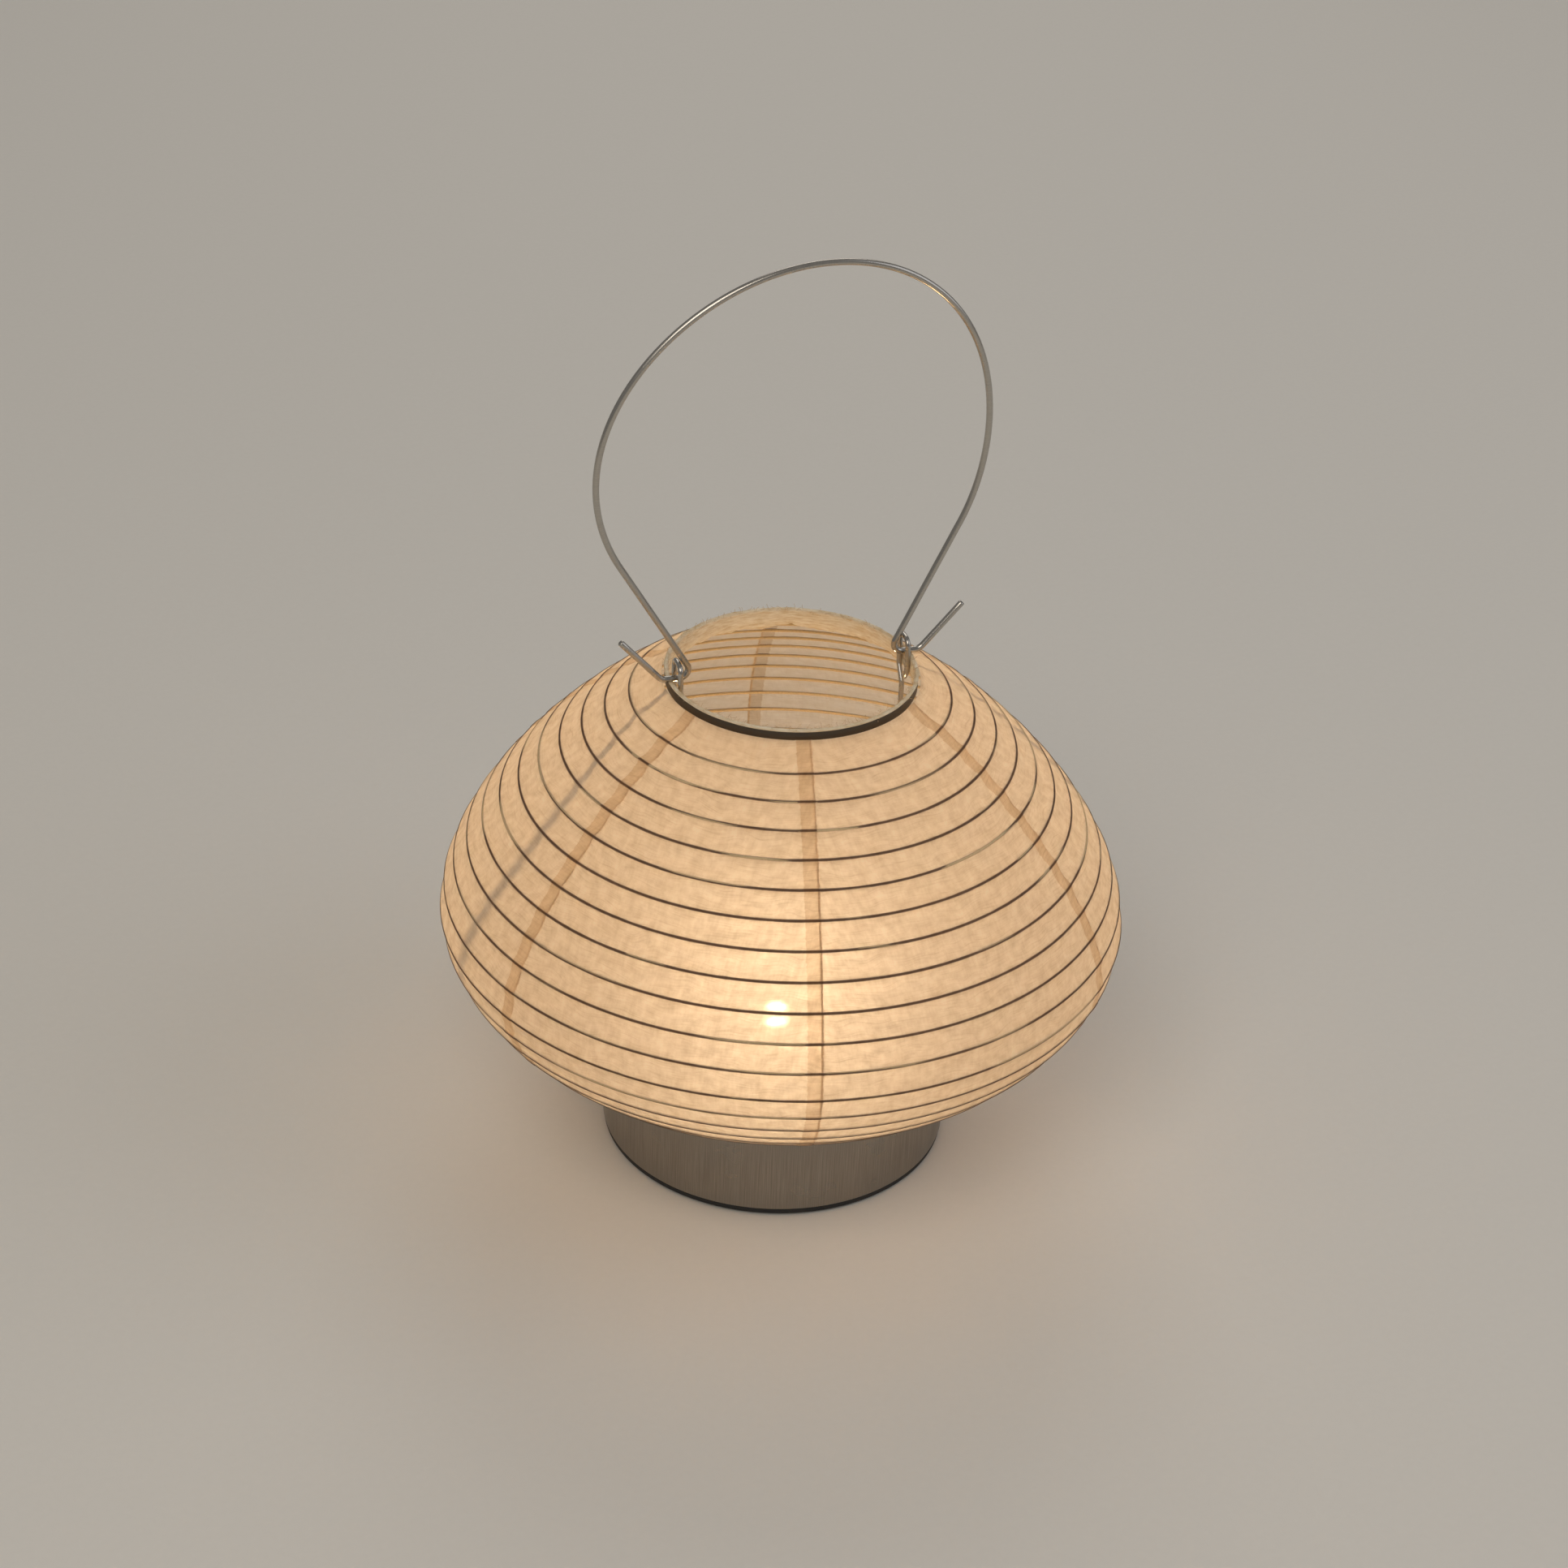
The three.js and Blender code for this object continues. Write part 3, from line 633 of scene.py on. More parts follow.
def applied(piece: Piece) -> Piece:
    """Turn a piece with modifiers into a plain mesh."""
    view = bpy.context.evaluated_depsgraph_get()
    shaped = piece.evaluated_get(view)
    made = bpy.data.meshes.new_from_object(shaped, preserve_all_data_layers=True, depsgraph=view)
    old = piece.data
    piece.modifiers.clear()
    piece.data = made
    made.name = piece.name
    bpy.data.meshes.remove(old)
    return piece


def cut(piece: Piece, *tools: Piece, join: bool = False) -> Piece:
    """Cut tools out of a piece, or join them to it, and drop the tools.

    Args:
        piece: The piece that stays.
        *tools: Closed meshes.
        join: Whether to join them instead.

    Returns:
        The piece with a plain mesh.
    """
    for tool in tools:
        step = piece.modifiers.new("cut", "BOOLEAN")
        step.operation = "UNION" if join else "DIFFERENCE"
        step.solver = "EXACT"
        step.object = tool
    applied(piece)
    for tool in tools:
        bpy.data.objects.remove(tool)
    return piece


def softened(piece: Piece, width: float, segments: int = 2, degrees: float = 35) -> Piece:
    """Round the edges of a piece that turn more than an angle."""
    step = piece.modifiers.new("soft", "BEVEL")
    step.width = width
    step.segments = segments
    step.limit_method = "ANGLE"
    step.angle_limit = math.radians(degrees)
    step.harden_normals = False
    step.miter_outer = "MITER_SHARP"
    return applied(piece)


def prism(
    name: str, outline: Outline, bottom: float, top: float, finish: Finish
) -> Piece:
    """Raise a flat closed outline into a plate with an upright wall and closed ends."""
    count = len(outline)
    area = sum(a[0] * b[1] - b[0] * a[1] for a, b in zip(outline, outline[1:] + outline[:1]))
    points = outline if area > 0 else outline[::-1]
    verts = np.array([(x, y, z) for z in (bottom, top) for x, y in points])
    walls = [(i, (i + 1) % count, count + (i + 1) % count, count + i) for i in range(count)]
    faces = [*walls, tuple(reversed(range(count))), tuple(range(count, 2 * count))]
    return new_piece(name, verts, faces, finish)


def oblong(x0: float, y0: float, x1: float, y1: float, radius: float = 0.0, steps: int = 5) -> Outline:
    """Give a rectangle between two corners, with round corners if it has a radius."""
    outline = [(x0, y0), (x1, y0), (x1, y1), (x0, y1)]
    return rounded(outline, radius, steps) if radius else outline


def oblong_mm(half_x: float, half_y: float, radius: float, middle_y: float = 0.0) -> Outline:
    """Give a round-cornered rectangle about a point on the Y axis, from sizes in mm."""
    corners = (-half_x, middle_y - half_y, half_x, middle_y + half_y, radius)
    return oblong(*(size * MM for size in corners))


def disc(x: float, y: float, radius: float, count: int = 32) -> Outline:
    """Give a circle as an outline."""
    angles = [TURN * k / count for k in range(count)]
    return [(x + radius * math.cos(a), y + radius * math.sin(a)) for a in angles]


def bent(corners: list[Point], bend: float, steps: int = 10) -> list[Vector]:
    """Give stations along straight runs with a round bend at each inner corner.

    Args:
        corners: Points where the runs meet.
        bend: Radius of each bend.
        steps: Stations in each bend.

    Returns:
        Points of the centre line.
    """
    points = [Vector(c) for c in corners]
    made = [points[0]]
    for before, here, after in zip(points, points[1:], points[2:]):
        back, on = (before - here).normalized(), (after - here).normalized()
        half = back.angle(on) / 2
        centre = here + (back + on).normalized() * (bend / math.sin(half))
        start = here + back * (bend / math.tan(half)) - centre
        axis = on.cross(back).normalized()
        for k in range(steps + 1):
            made.append(Matrix.Rotation((math.pi - 2 * half) * k / steps, 3, axis) @ start + centre)
    return [*made, points[-1]]


def spaced(path: list[Vector], step: float) -> list[Vector]:
    """Add points on a path's long straight runs so that no two are further apart than a step."""
    made = [path[0]]
    for a, b in zip(path, path[1:]):
        count = max(1, math.ceil((b - a).length / step))
        made += [a.lerp(b, k / count) for k in range(1, count + 1)]
    return made


def sweep(
    name: str, path: list[Vector], radius: float, finish: Finish, sides: int = 16, tip: float = 0.5
) -> Piece:
    """Make a round wire along a path, with ends rounded over.

    Args:
        name: The piece's name.
        path: Points of its centre line.
        radius: The wire's radius.
        finish: What it is made of.
        sides: Facets round the wire.
        tip: How far each end bulges past its cut, as a share of the radius.

    Returns:
        The closed wire.
    """
    count = len(path)
    tangents = [(path[min(i + 1, count - 1)] - path[max(i - 1, 0)]).normalized() for i in range(count)]
    normal = tangents[0].orthogonal().normalized()
    rings, lengths = [], []
    travelled = 0.0
    first, last = tangents[0], tangents[-1]
    bulge = radius * tip
    shut = [(1 - math.cos(QUARTER - a), math.sin(a)) for a in ROUND_OVER]
    stations = [(path[0] + first * bulge * out, first, share) for out, share in shut]
    body = [(p, t, 1.0) for p, t in zip(path, tangents)]
    body[0] = (path[0] + first * bulge, first, 1.0)
    body[-1] = (path[-1] - last * bulge, last, 1.0)
    stations += body
    stations += [(path[-1] - last * bulge * (1 - math.cos(a)), last, math.sin(a)) for a in ROUND_OVER[::-1]]
    last_tangent, last_point = first, stations[0][0]
    for point, tangent, share in stations:
        normal = (last_tangent.rotation_difference(tangent) @ normal).normalized()
        side = tangent.cross(normal).normalized()
        travelled += (point - last_point).length
        lengths.append(travelled)
        turn = np.linspace(0, TURN, sides, endpoint=False)
        rings.append([point + (normal * math.cos(a) + side * math.sin(a)) * radius * share for a in turn])
        last_tangent, last_point = tangent, point
    verts = np.array([v for ring in rings for v in ring])
    rows = len(rings)
    faces = grid_faces(rows, sides, False, True)
    uvs = grid_uvs(np.linspace(0, TURN * radius, sides + 1), np.array(lengths), False, True)
    caps = [tuple(reversed(range(sides))), tuple((rows - 1) * sides + k for k in range(sides))]
    flat = np.array([(k * radius / sides, end) for end in (0.0, lengths[-1]) for k in range(sides)])
    return new_piece(name, verts, faces + caps, finish, np.concatenate([uvs, flat]))


def fixed_noise(points: np.ndarray, size: float, seed: float) -> np.ndarray:
    """Give a smooth noise from -1 to 1 at each point, with features of one size."""
    offset = Vector((seed * 3.17, seed * 1.71, seed * 2.39))
    return np.array([noise.noise(Vector(p) / size + offset) for p in points])


# ------------------------------------------------------------------ geometry-node tools


def node_group(name: str, **kinds: str) -> Nodes:
    """Start a geometry tree with named inputs, each of one kind, and an output that isn't fed yet."""
    tree = bpy.data.node_groups.new(name, "GeometryNodeTree")
    for label, kind in kinds.items():
        tree.interface.new_socket(label, in_out="INPUT", socket_type=f"NodeSocket{kind}")
    tree.interface.new_socket("Geometry", in_out="OUTPUT", socket_type="NodeSocketGeometry")
    return Nodes(tree)


def grown(name: str, tree: bpy.types.NodeTree, values: dict[str, object]) -> Piece:
    """Run a tree with its inputs set, and keep the result as a plain mesh at the origin.

    Args:
        name: The piece's name.
        tree: The tree to run.
        values: Input name to value.

    Returns:
        A piece with no modifier left on it.
    """
    piece = bpy.data.objects.new(name, bpy.data.meshes.new(name))
    bpy.context.scene.collection.objects.link(piece)
    step = piece.modifiers.new("grow", "NODES")
    step.node_group = tree
    for item in tree.interface.items_tree:
        if item.item_type == "SOCKET" and item.in_out == "INPUT" and item.name in values:
            step[item.identifier] = values[item.name]
    return applied(piece)


# ------------------------------------------------------------------ shade


@dataclass
class Shade:
    """The paper gores, the hoops that hold them out, and the two rings that end them."""

    gores: int = 6
    hoops: int = 21
    seams: tuple[float, ...] = (-12.5, 47.5, 107.5, 167.5, 227.5, 292.5, 347.5)
    paper_off_hoop: float = 0.62 * MM
    cad_wire: float = 0.6 * MM
    rows_per_bay: int = 9
    columns: int = 96
    overlap: float = 5.4 * MM
    lift: float = 0.16 * MM
    tuck: float = 0.9 * MM
    lap_columns: int = 6
    lap_share: float = 0.93
    scallop: float = 1.0 * MM
    full_bay: float = 8.5 * MM
    dimple: float = 0.22 * MM
    cockle: float = 0.07 * MM
    pleats: float = 58
    pleat_run: float = 9 * MM
    mouth_pleat: float = 0.34 * MM
    foot_pleat: float = 0.3 * MM
    pucker: float = 0.18 * MM
    pucker_run: float = 2.1 * MM
    mouth: tuple[float, float] = (43.9 * MM, 183.3 * MM)
    foot: tuple[float, float] = (59.6 * MM, 40.9 * MM)
    lamp_height: float = 44 * MM
    anchor: float = 41.2 * MM

    def hoop_sizes(self) -> Outline:
        """Give each hoop's radius and height from the frame, top to bottom."""
        made = []
        for i in range(self.hoops):
            low, high, size = box_size(f"rib_{i + 1:02d}")
            made.append((size.y / 2 - self.cad_wire, (low.z + high.z) / 2))
        return made

    def profile(self) -> tuple[np.ndarray, np.ndarray, np.ndarray]:
        """Draw the paper's upright section as a smooth line through the hoops.

        Returns:
            Radius and height of each row, each row's outward normal, and the rows' place in
            bays, where a whole number is a hoop or an end.
        """
        knots = np.array([self.mouth, *self.hoop_sizes(), self.foot])
        slope = np.gradient(knots, axis=0)
        slope /= np.linalg.norm(slope, axis=1)[:, None]
        normal = np.stack([-slope[:, 1], slope[:, 0]], axis=1)
        knots[1:-1] += normal[1:-1] * self.paper_off_hoop
        padded = np.concatenate([[2 * knots[0] - knots[1]], knots, [2 * knots[-1] - knots[-2]]])
        rows, bays = [], []
        for i in range(len(knots) - 1):
            p0, p1, p2, p3 = padded[i : i + 4]
            last = i == len(knots) - 2
            # Rows crowd towards the hoops, where the paper turns.
            steps = np.arange(self.rows_per_bay + (1 if last else 0)) / self.rows_per_bay
            square, cube = 2 * p0 - 5 * p1 + 4 * p2 - p3, 3 * p1 - p0 - 3 * p2 + p3
            for t in (1 - np.cos(np.pi * steps)) / 2:
                rows.append(0.5 * (2 * p1 + (p2 - p0) * t + square * t**2 + cube * t**3))
                bays.append(i + t)
        rows = np.array(rows)
        slope = np.gradient(rows, axis=0)
        slope /= np.linalg.norm(slope, axis=1)[:, None]
        return rows, np.stack([-slope[:, 1], slope[:, 0]], axis=1), np.array(bays)

    def lap_edge(self, number: int, down: np.ndarray) -> np.ndarray:
        """Give how far a gore's torn edge wanders at each row, in a long wave and a short one."""
        long = [noise.noise(Vector((d / (11 * MM), number * 5.3, 0.7))) for d in down]
        short = [noise.noise(Vector((d / (3.5 * MM), number * 3.1, 4.2))) for d in down]
        return np.array(long) * 0.5 * MM + np.array(short) * 0.22 * MM

    def relief(
        self, number: int, rows: np.ndarray, bays: np.ndarray, down: np.ndarray, knots: np.ndarray,
        angle: np.ndarray, past: np.ndarray, before: np.ndarray,
    ) -> np.ndarray:
        """Give how far the sheet stands off its smooth section at each point.

        Args:
            number: The gore's place round the shade.
            rows: Radius and height of each row.
            bays: Each row's place in bays.
            down: Length of paper from the mouth to each row.
            knots: The same at each hoop.
            angle: Each point's angle.
            past: How far each point is past the gore's end seam.
            before: The same for its start seam.

        Returns:
            Distance outwards, below 0 where the sheet sags.
        """
        bay = np.floor(bays + 1e-6).astype(int).clip(0, self.hoops)
        in_bay = np.clip(bays - bay, 0, 1)
        free = np.sin(np.pi * in_bay).clip(0, 1)[:, None]
        wide, level = rows[:, :1], 0 * angle
        flat = np.stack([wide * angle, down[:, None] + level, number * 0.31 + level], axis=-1)
        place = np.stack([wide * np.sin(angle), -wide * np.cos(angle), rows[:, 1:2] + level], axis=-1)
        broad, small, fine = (
            fixed_noise(spots.reshape(-1, 3), size, seed).reshape(angle.shape)
            for spots, size, seed in ((place, 34 * MM, 1.0), (flat, 6.2 * MM, 2.0), (flat, 2.4 * MM, 5.0))
        )
        width = np.array([knots[min(b + 1, self.hoops + 1)] - knots[b] for b in bay])
        depth = self.scallop * (width / self.full_bay).clip(0.4, 1.4)[:, None] * (0.85 + 0.35 * broad)
        made = -depth * (np.sin(np.pi * in_bay) ** 0.8)[:, None]
        made += free * (self.dimple * small + self.cockle * fine)
        # Pleats gather the paper under the mouth and over the foot, where the sheet is too wide.
        first = np.exp(-((down / self.pleat_run) ** 2))[:, None]
        final = np.exp(-(((down[-1] - down) / self.pleat_run) ** 2))[:, None]
        wave = np.sin(angle * self.pleats + 1.9 * np.sin(angle * 7 + number))
        pleat = wave * (0.6 + 0.4 * np.sin(angle * 13 + 2))
        made += (first * self.mouth_pleat + final * self.foot_pleat) * pleat * free
        # The lap pulls the sheet beside it into faint puckers.
        beside = np.exp(-((np.minimum(np.abs(past), np.abs(before)) / (6 * MM)) ** 2))
        ripple = np.sin(down / self.pucker_run + 3 * small.mean(axis=1))[:, None]
        return made + beside * free * self.pucker * ripple

    def gore(self, number: int) -> Piece:
        """Make one gore: a panel that sags inwards between hoops and laps the next gore.

        Args:
            number: Its place round the shade, from 0.

        Returns:
            The gore, with its flat map and its marks for the hoops, the lap and the lamp.
        """
        rows, normals, bays = self.profile()
        start, end = (math.radians(a) for a in self.seams[number : number + 2])
        radius = rows[:, :1]
        steps = np.linalg.norm(np.diff(rows, axis=0), axis=1)
        down = np.concatenate([[0.0], np.cumsum(steps)])
        knots = np.array([down[np.argmin(np.abs(bays - k))] for k in range(self.hoops + 2)])
        # Columns crowd at the lap, whose edge wanders a little as torn paper does.
        crowd, most = self.lap_columns, self.lap_share
        inner = np.linspace(0, 1, self.columns - crowd)
        share = np.concatenate([inner * most, most + (1 - most) * np.arange(1, crowd + 1) / crowd])
        half = self.overlap / 2
        left = start + (half - self.tuck) / radius
        right = end + (half + self.lap_edge(number, down)[:, None]) / radius
        angle = left + (right - left) * share[None, :]
        past, before = (angle - end) * radius, (angle - start) * radius
        lap = np.clip((past + half + 0.4 * MM) / (0.5 * MM), 0, 1)
        out = self.relief(number, rows, bays, down, knots, angle, past, before) + lap * self.lift
        r, z = radius + normals[:, :1] * out, rows[:, 1:2] + normals[:, 1:2] * out
        verts = np.stack([r * np.sin(angle), -r * np.cos(angle), z], axis=-1).reshape(-1, 3)
        faces = [tuple(reversed(f)) for f in grid_faces(*angle.shape, False, False)]
        u = (angle - (start + end) / 2) * radius + number * 0.19
        corner = np.stack([u, -down[:, None] + 0 * u], axis=-1).reshape(-1, 2)
        uvs = np.array([corner[k] for f in faces for k in f])
        piece = new_piece(f"paper_panel_{number + 1}", verts, faces, PAPER, uvs)
        gap = np.abs(down[:, None] - knots[None, 1:-1]).min(axis=1)
        self.mark(piece, "hoop_gap", gap[:, None] + 0 * u)
        self.mark(piece, "lap_gap", np.abs(np.where(past > -20 * MM, past, before)))
        self.mark(piece, "lamp_light", self.lamp_light(verts))
        return piece

    def lamp_light(self, verts: np.ndarray) -> np.ndarray:
        """Give how much of the lamp's light, direct and scattered, reaches each point, about 0 to 1, for the
        paper's painted glow.
        """
        away = verts - np.array([0, 0, self.lamp_height])
        far = np.linalg.norm(away, axis=1)
        up = np.clip(away[:, 2] / far, 0, 1)
        direct = (0.09 / far) ** 2 * up
        return np.clip(0.45 + 0.75 * direct, 0, 1.25)

    def mark(self, piece: Piece, name: str, values: np.ndarray) -> None:
        """Keep one number for each point of a piece under a name."""
        layer = piece.data.attributes.new(name, "FLOAT", "POINT")
        layer.data.foreach_set("value", np.asarray(values, np.float32).ravel())

    def hoop_tree(self) -> bpy.types.NodeTree:
        """Build the tree that winds one wire hoop."""
        sizes = {name: "Float" for name in ("Radius", "Height", "Wire", "Waver", "Seed")}
        nodes = node_group("wound_hoop", **sizes, Finish="Material")
        given = nodes.add("NodeGroupInput").outputs
        values = {"Resolution": 216, "Radius": given["Radius"]}
        circle = nodes.add("GeometryNodeCurvePrimitiveCircle", values)
        rough = nodes.noise(nodes.add("GeometryNodeInputPosition"), per_mm(38), 1.0, way="4D")
        nodes.tree.links.new(given["Seed"], rough.inputs["W"])
        centred = nodes.vector("SUBTRACT", rough.outputs["Color"], (0.5, 0.5, 0.5))
        offset = nodes.vector("SCALE", centred, Scale=given["Waver"])
        shaken = nodes.add("GeometryNodeSetPosition", {"Geometry": circle, "Offset": offset})
        raised = nodes.moved(shaken, Translation=nodes.along_z(given["Height"]))
        wire = nodes.tube(raised, 8, given["Wire"])
        smooth = nodes.add("GeometryNodeSetShadeSmooth", {"Geometry": wire, "Shade Smooth": True})
        return nodes.finished(smooth, given["Finish"])

    def fibre_tree(self) -> bpy.types.NodeTree:
        """Build the tree that stands loose fibres on a rim."""
        sizes = {name: "Float" for name in ("Radius", "Height", "Length", "Thickness")}
        nodes = node_group("rim_fibres", **sizes, Count="Int", Seed="Int", Finish="Material")
        given = nodes.add("NodeGroupInput").outputs
        seed = given["Seed"]
        rim = nodes.add("GeometryNodeMeshCircle", {"Vertices": given["Count"], "Radius": given["Radius"]})
        offset = nodes.spread((-0.0006, -0.0006, -0.0016), (0.0006, 0.0006, 0.0004), seed)
        strewn = nodes.add("GeometryNodeSetPosition", {"Geometry": rim, "Offset": offset})
        raised = nodes.moved(strewn, Translation=nodes.along_z(given["Height"]))
        end = nodes.along_z(given["Length"])
        middle = nodes.vector("ADD", nodes.vector("MULTIPLY", end, (0.5, 0.5, 0.6)), (0.0006, 0.0, 0.0))
        values = {"Resolution": 4, "Start": (0, 0, 0), "Middle": middle, "End": end}
        stem = nodes.add("GeometryNodeCurveQuadraticBezier", values)
        hair = nodes.tube(stem, 3, given["Thickness"], **{"Fill Caps": True})
        size = nodes.add("FunctionNodeRandomValue", {2: 0.35, 3: 1.15, "Seed": seed}, data_type="FLOAT")
        values = {
            "Points": raised, "Instance": hair, "Scale": size,
            "Rotation": nodes.spread((-1.25, -1.25, 0.0), (1.25, 1.25, TURN), seed),
        }
        return nodes.finished(nodes.add("GeometryNodeInstanceOnPoints", values), given["Finish"])

    def band(self, node: str) -> Piece:
        """Turn a ring of band steel with rolled-over edges."""
        low, high, size = box_size(node)
        outer, thick = size.y / 2, 1.0 * MM
        outline = [(outer - thick, low.z), (outer, low.z), (outer, high.z), (outer - thick, high.z)]
        return sharpen(lathe(f"{node}_band", rounded(outline, 0.35 * MM, 3), BAND_STEEL, 180))

    def hem(self, name: str, outline: Outline, seed: float, torn_below: float) -> Piece:
        """Wrap pasted paper over a ring, wrinkled, with a torn edge on its free flap.

        Args:
            name: The piece's name.
            outline: Closed section of the wrap as radius and height.
            seed: Shift of its wrinkles.
            torn_below: Height under which its edge is torn.

        Returns:
            The wrap.
        """
        count, segments = len(outline), 300
        turn = np.linspace(0, TURN, segments, endpoint=False)
        verts = np.zeros((count, segments, 3))
        for i, (radius, height) in enumerate(outline):
            for j, angle in enumerate(turn):
                spot = Vector((radius * math.cos(angle), radius * math.sin(angle), height))
                crease = noise.noise(spot / (7 * MM) + Vector((seed, 0, 0))) * 0.16 * MM
                crease += noise.noise(spot / (2.2 * MM) + Vector((seed, 3, 0))) * 0.09 * MM
                torn = 0.0
                if height < torn_below:
                    torn = noise.noise(Vector((math.cos(angle), math.sin(angle), seed)) * 5) * 1.1 * MM
                    torn += noise.noise(Vector((math.cos(angle), math.sin(angle), seed)) * 21) * 0.7 * MM
                r = radius + crease
                verts[i, j] = (r * math.cos(angle), r * math.sin(angle), height + torn + 0.4 * crease)
        faces = grid_faces(count, segments, True, True)
        piece = new_piece(name, verts.reshape(-1, 3), faces, HEM_PAPER)
        return tidy(piece)

    def build(self) -> None:
        """Make the whole shade and set what each piece rides on."""
        for number in range(self.gores):
            gore = self.gore(number)
            mount(gore, "base", "paper", f"paper_gore_{number + 1}")
            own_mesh(gore)
            LOG.info("%s: %d faces", gore.name, len(gore.data.polygons))
        tree = self.hoop_tree()
        for i, (radius, height) in enumerate(self.hoop_sizes()):
            name = f"rib_{i + 1:02d}"
            values = {
                "Radius": radius, "Height": height, "Wire": 0.55 * MM, "Waver": 0.5 * MM, "Seed": float(i),
                "Finish": HOOP_PAINT.material(),
            }
            hoop = grown(f"hoop_{i + 1:02d}", tree, values)
            mount(hoop, name, "rib_wire", name)
        LOG.info("hoops: %d", self.hoops)
        self.build_rings()

    def build_rings(self) -> None:
        """Make the two rings, the paper hem of the upper ring and the loose fibres of that hem."""
        for node, body in (("mouth_ring", "mouth_ring"), ("foot_ring", "base")):
            mount(self.band(node), body, "ring_steel", node)
        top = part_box("mouth_ring")[1].z
        outer = box_size("mouth_ring")[2].y / 2
        wrap_mm = [
            (0.12, -0.35), (0.2, 0.1), (-0.2, 0.5), (-1.1, 0.45), (-1.45, -0.3), (-1.5, -3.5), (-1.45, -6.3),
            (-1.15, -6.35), (-1.12, -3.5), (-1.08, -0.3), (-0.9, 0.12), (-0.1, 0.12),
        ]
        section = [(outer + out * MM, top + up * MM) for out, up in wrap_mm]
        hem = self.hem("mouth_hem", rounded(section, 0.4 * MM, 2), 1.7, top - 5.5 * MM)
        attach(hem, "mouth_ring")
        values = {
            "Radius": outer - 1.2 * MM, "Height": top + 0.35 * MM, "Count": 420, "Length": 2.3 * MM,
            "Thickness": 0.06 * MM, "Seed": 11, "Finish": BARK_FIBRE.material(),
        }
        fibres = grown("mouth_hem_fibres", self.fibre_tree(), values)
        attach(fibres, "mouth_ring")
        LOG.info("rings, hem and fibres made")


# ------------------------------------------------------------------ wirework


@dataclass
class Wirework:
    """The two sprung uprights with their eyelets, and the bail that hooks through them."""

    upright_x: float = 40.2 * MM
    upright_radius: float = 0.9 * MM
    foot: float = 8 * MM
    stem_top: float = 175 * MM
    eyelet_half: float = 3.9 * MM
    eyelet_top: float = 193.2 * MM
    shoulder: float = 181 * MM
    grip: float = 44.6 * MM
    bows: tuple[float, float] = (7 * MM, 3 * MM)
    eyelet_bend: float = 2.6 * MM
    hinge: float = 187.5 * MM
    bail_radius: float = 1.1 * MM
    loop: float = 67 * MM
    lean: float = math.radians(28.5)
    slump: float = -5.8 * MM
    drift: float = 7.5 * MM
    hook_inner: float = 39.5 * MM
    hook_outer: float = 44 * MM
    hook_bend: float = 3 * MM
    tail_bend: float = 4 * MM
    tail_rise: float = math.radians(48)
    tail_length: float = 20 * MM

    def upright(self, name: str, x: float, bow: float) -> Piece:
        """Bend one upright: a stem that bows under the shade's pull, and a tall narrow eyelet above it."""
        w, low = self.eyelet_half, self.shoulder
        top = self.eyelet_top
        stem = [(x, 0, self.foot), (x, 0, self.stem_top)]
        corners = [*stem, (x, w, low), (x, w, top), (x, -w, top), (x, -w, low), (x, -w / 2, low - 3 * MM)]
        path = spaced(bent(corners, self.eyelet_bend, 9), 4 * MM)
        for point in path:
            share = (point.z - self.grip) / (self.stem_top - self.grip)
            if 0 < share < 1 and abs(point.y) < 1e-9:
                point.y = -bow * math.sin(math.pi * share**0.6) ** 2
                point.x = math.copysign(math.sqrt(x * x - point.y**2), x)
        return sweep(name, path, self.upright_radius, WIRE_STEEL, 14)

    def bail(self) -> Piece:
        """Bend the bail: a round loop, two straight legs, and a hook and a flared tail at each end."""
        bend_z = self.hinge + self.hook_bend
        leg_x = self.hook_inner - self.hook_bend * math.cos(self.lean)
        leg_z = bend_z + self.hook_bend * math.sin(self.lean)
        loop_x = self.loop * math.cos(self.lean)
        loop_z = leg_z + (loop_x - leg_x) / math.tan(self.lean)
        centre = loop_z + self.loop * math.sin(self.lean)
        rise = self.tail_rise
        tail_x = self.hook_outer + self.tail_bend * math.sin(rise)
        tail_z = self.hinge + self.tail_bend * (1 - math.cos(rise))
        half = [(tail_x + self.tail_length * math.cos(rise), tail_z + self.tail_length * math.sin(rise))]
        outer, inner, wide, tight = self.hook_outer, self.hook_inner, self.tail_bend, self.hook_bend
        for a in np.linspace(rise, 0, 9):
            half.append((outer + wide * math.sin(a), self.hinge + wide * (1 - math.cos(a))))
        for a in np.linspace(0, QUARTER + self.lean, 15):
            half.append((inner - tight * math.sin(a), bend_z - tight * math.cos(a)))
        loop_stations = 55
        for a in np.linspace(-self.lean, QUARTER, loop_stations + 1)[:-1]:
            half.append((self.loop * math.cos(a), centre + self.loop * math.sin(a)))
        right = [Vector((x, 0, z)) for x, z in half]
        left = [Vector((-p.x, 0, p.z)) for p in reversed(right)]
        crown = centre + self.loop
        # A bail that is opened and shut by hand isn't quite even; its hooks stay where they are.
        loop = [*right[-loop_stations:], Vector((0, 0, crown)), *left[:loop_stations]]
        for point in loop:
            share = min(max((point.z - leg_z) / (crown - leg_z), 0.0), 1.0)
            point.x += self.drift * share + self.slump * math.sin(math.pi * share)
        path = spaced([*right[:-loop_stations], *loop, *left[loop_stations:]], 4 * MM)
        return sweep("bail_wire", path, self.bail_radius, WIRE_STEEL, 18)

    def build(self) -> None:
        """Make the wirework and set what each piece rides on."""
        for side, sign, bow in (("left", -1, self.bows[0]), ("right", 1, self.bows[1])):
            upright = self.upright(f"upright_wire_{side}", sign * self.upright_x, bow)
            mount(upright, "base", "wire_steel", f"upright_{side}")
        mount(self.bail(), "bail", "wire_steel", "bail")
        LOG.info("wirework made")


# ------------------------------------------------------------------ base


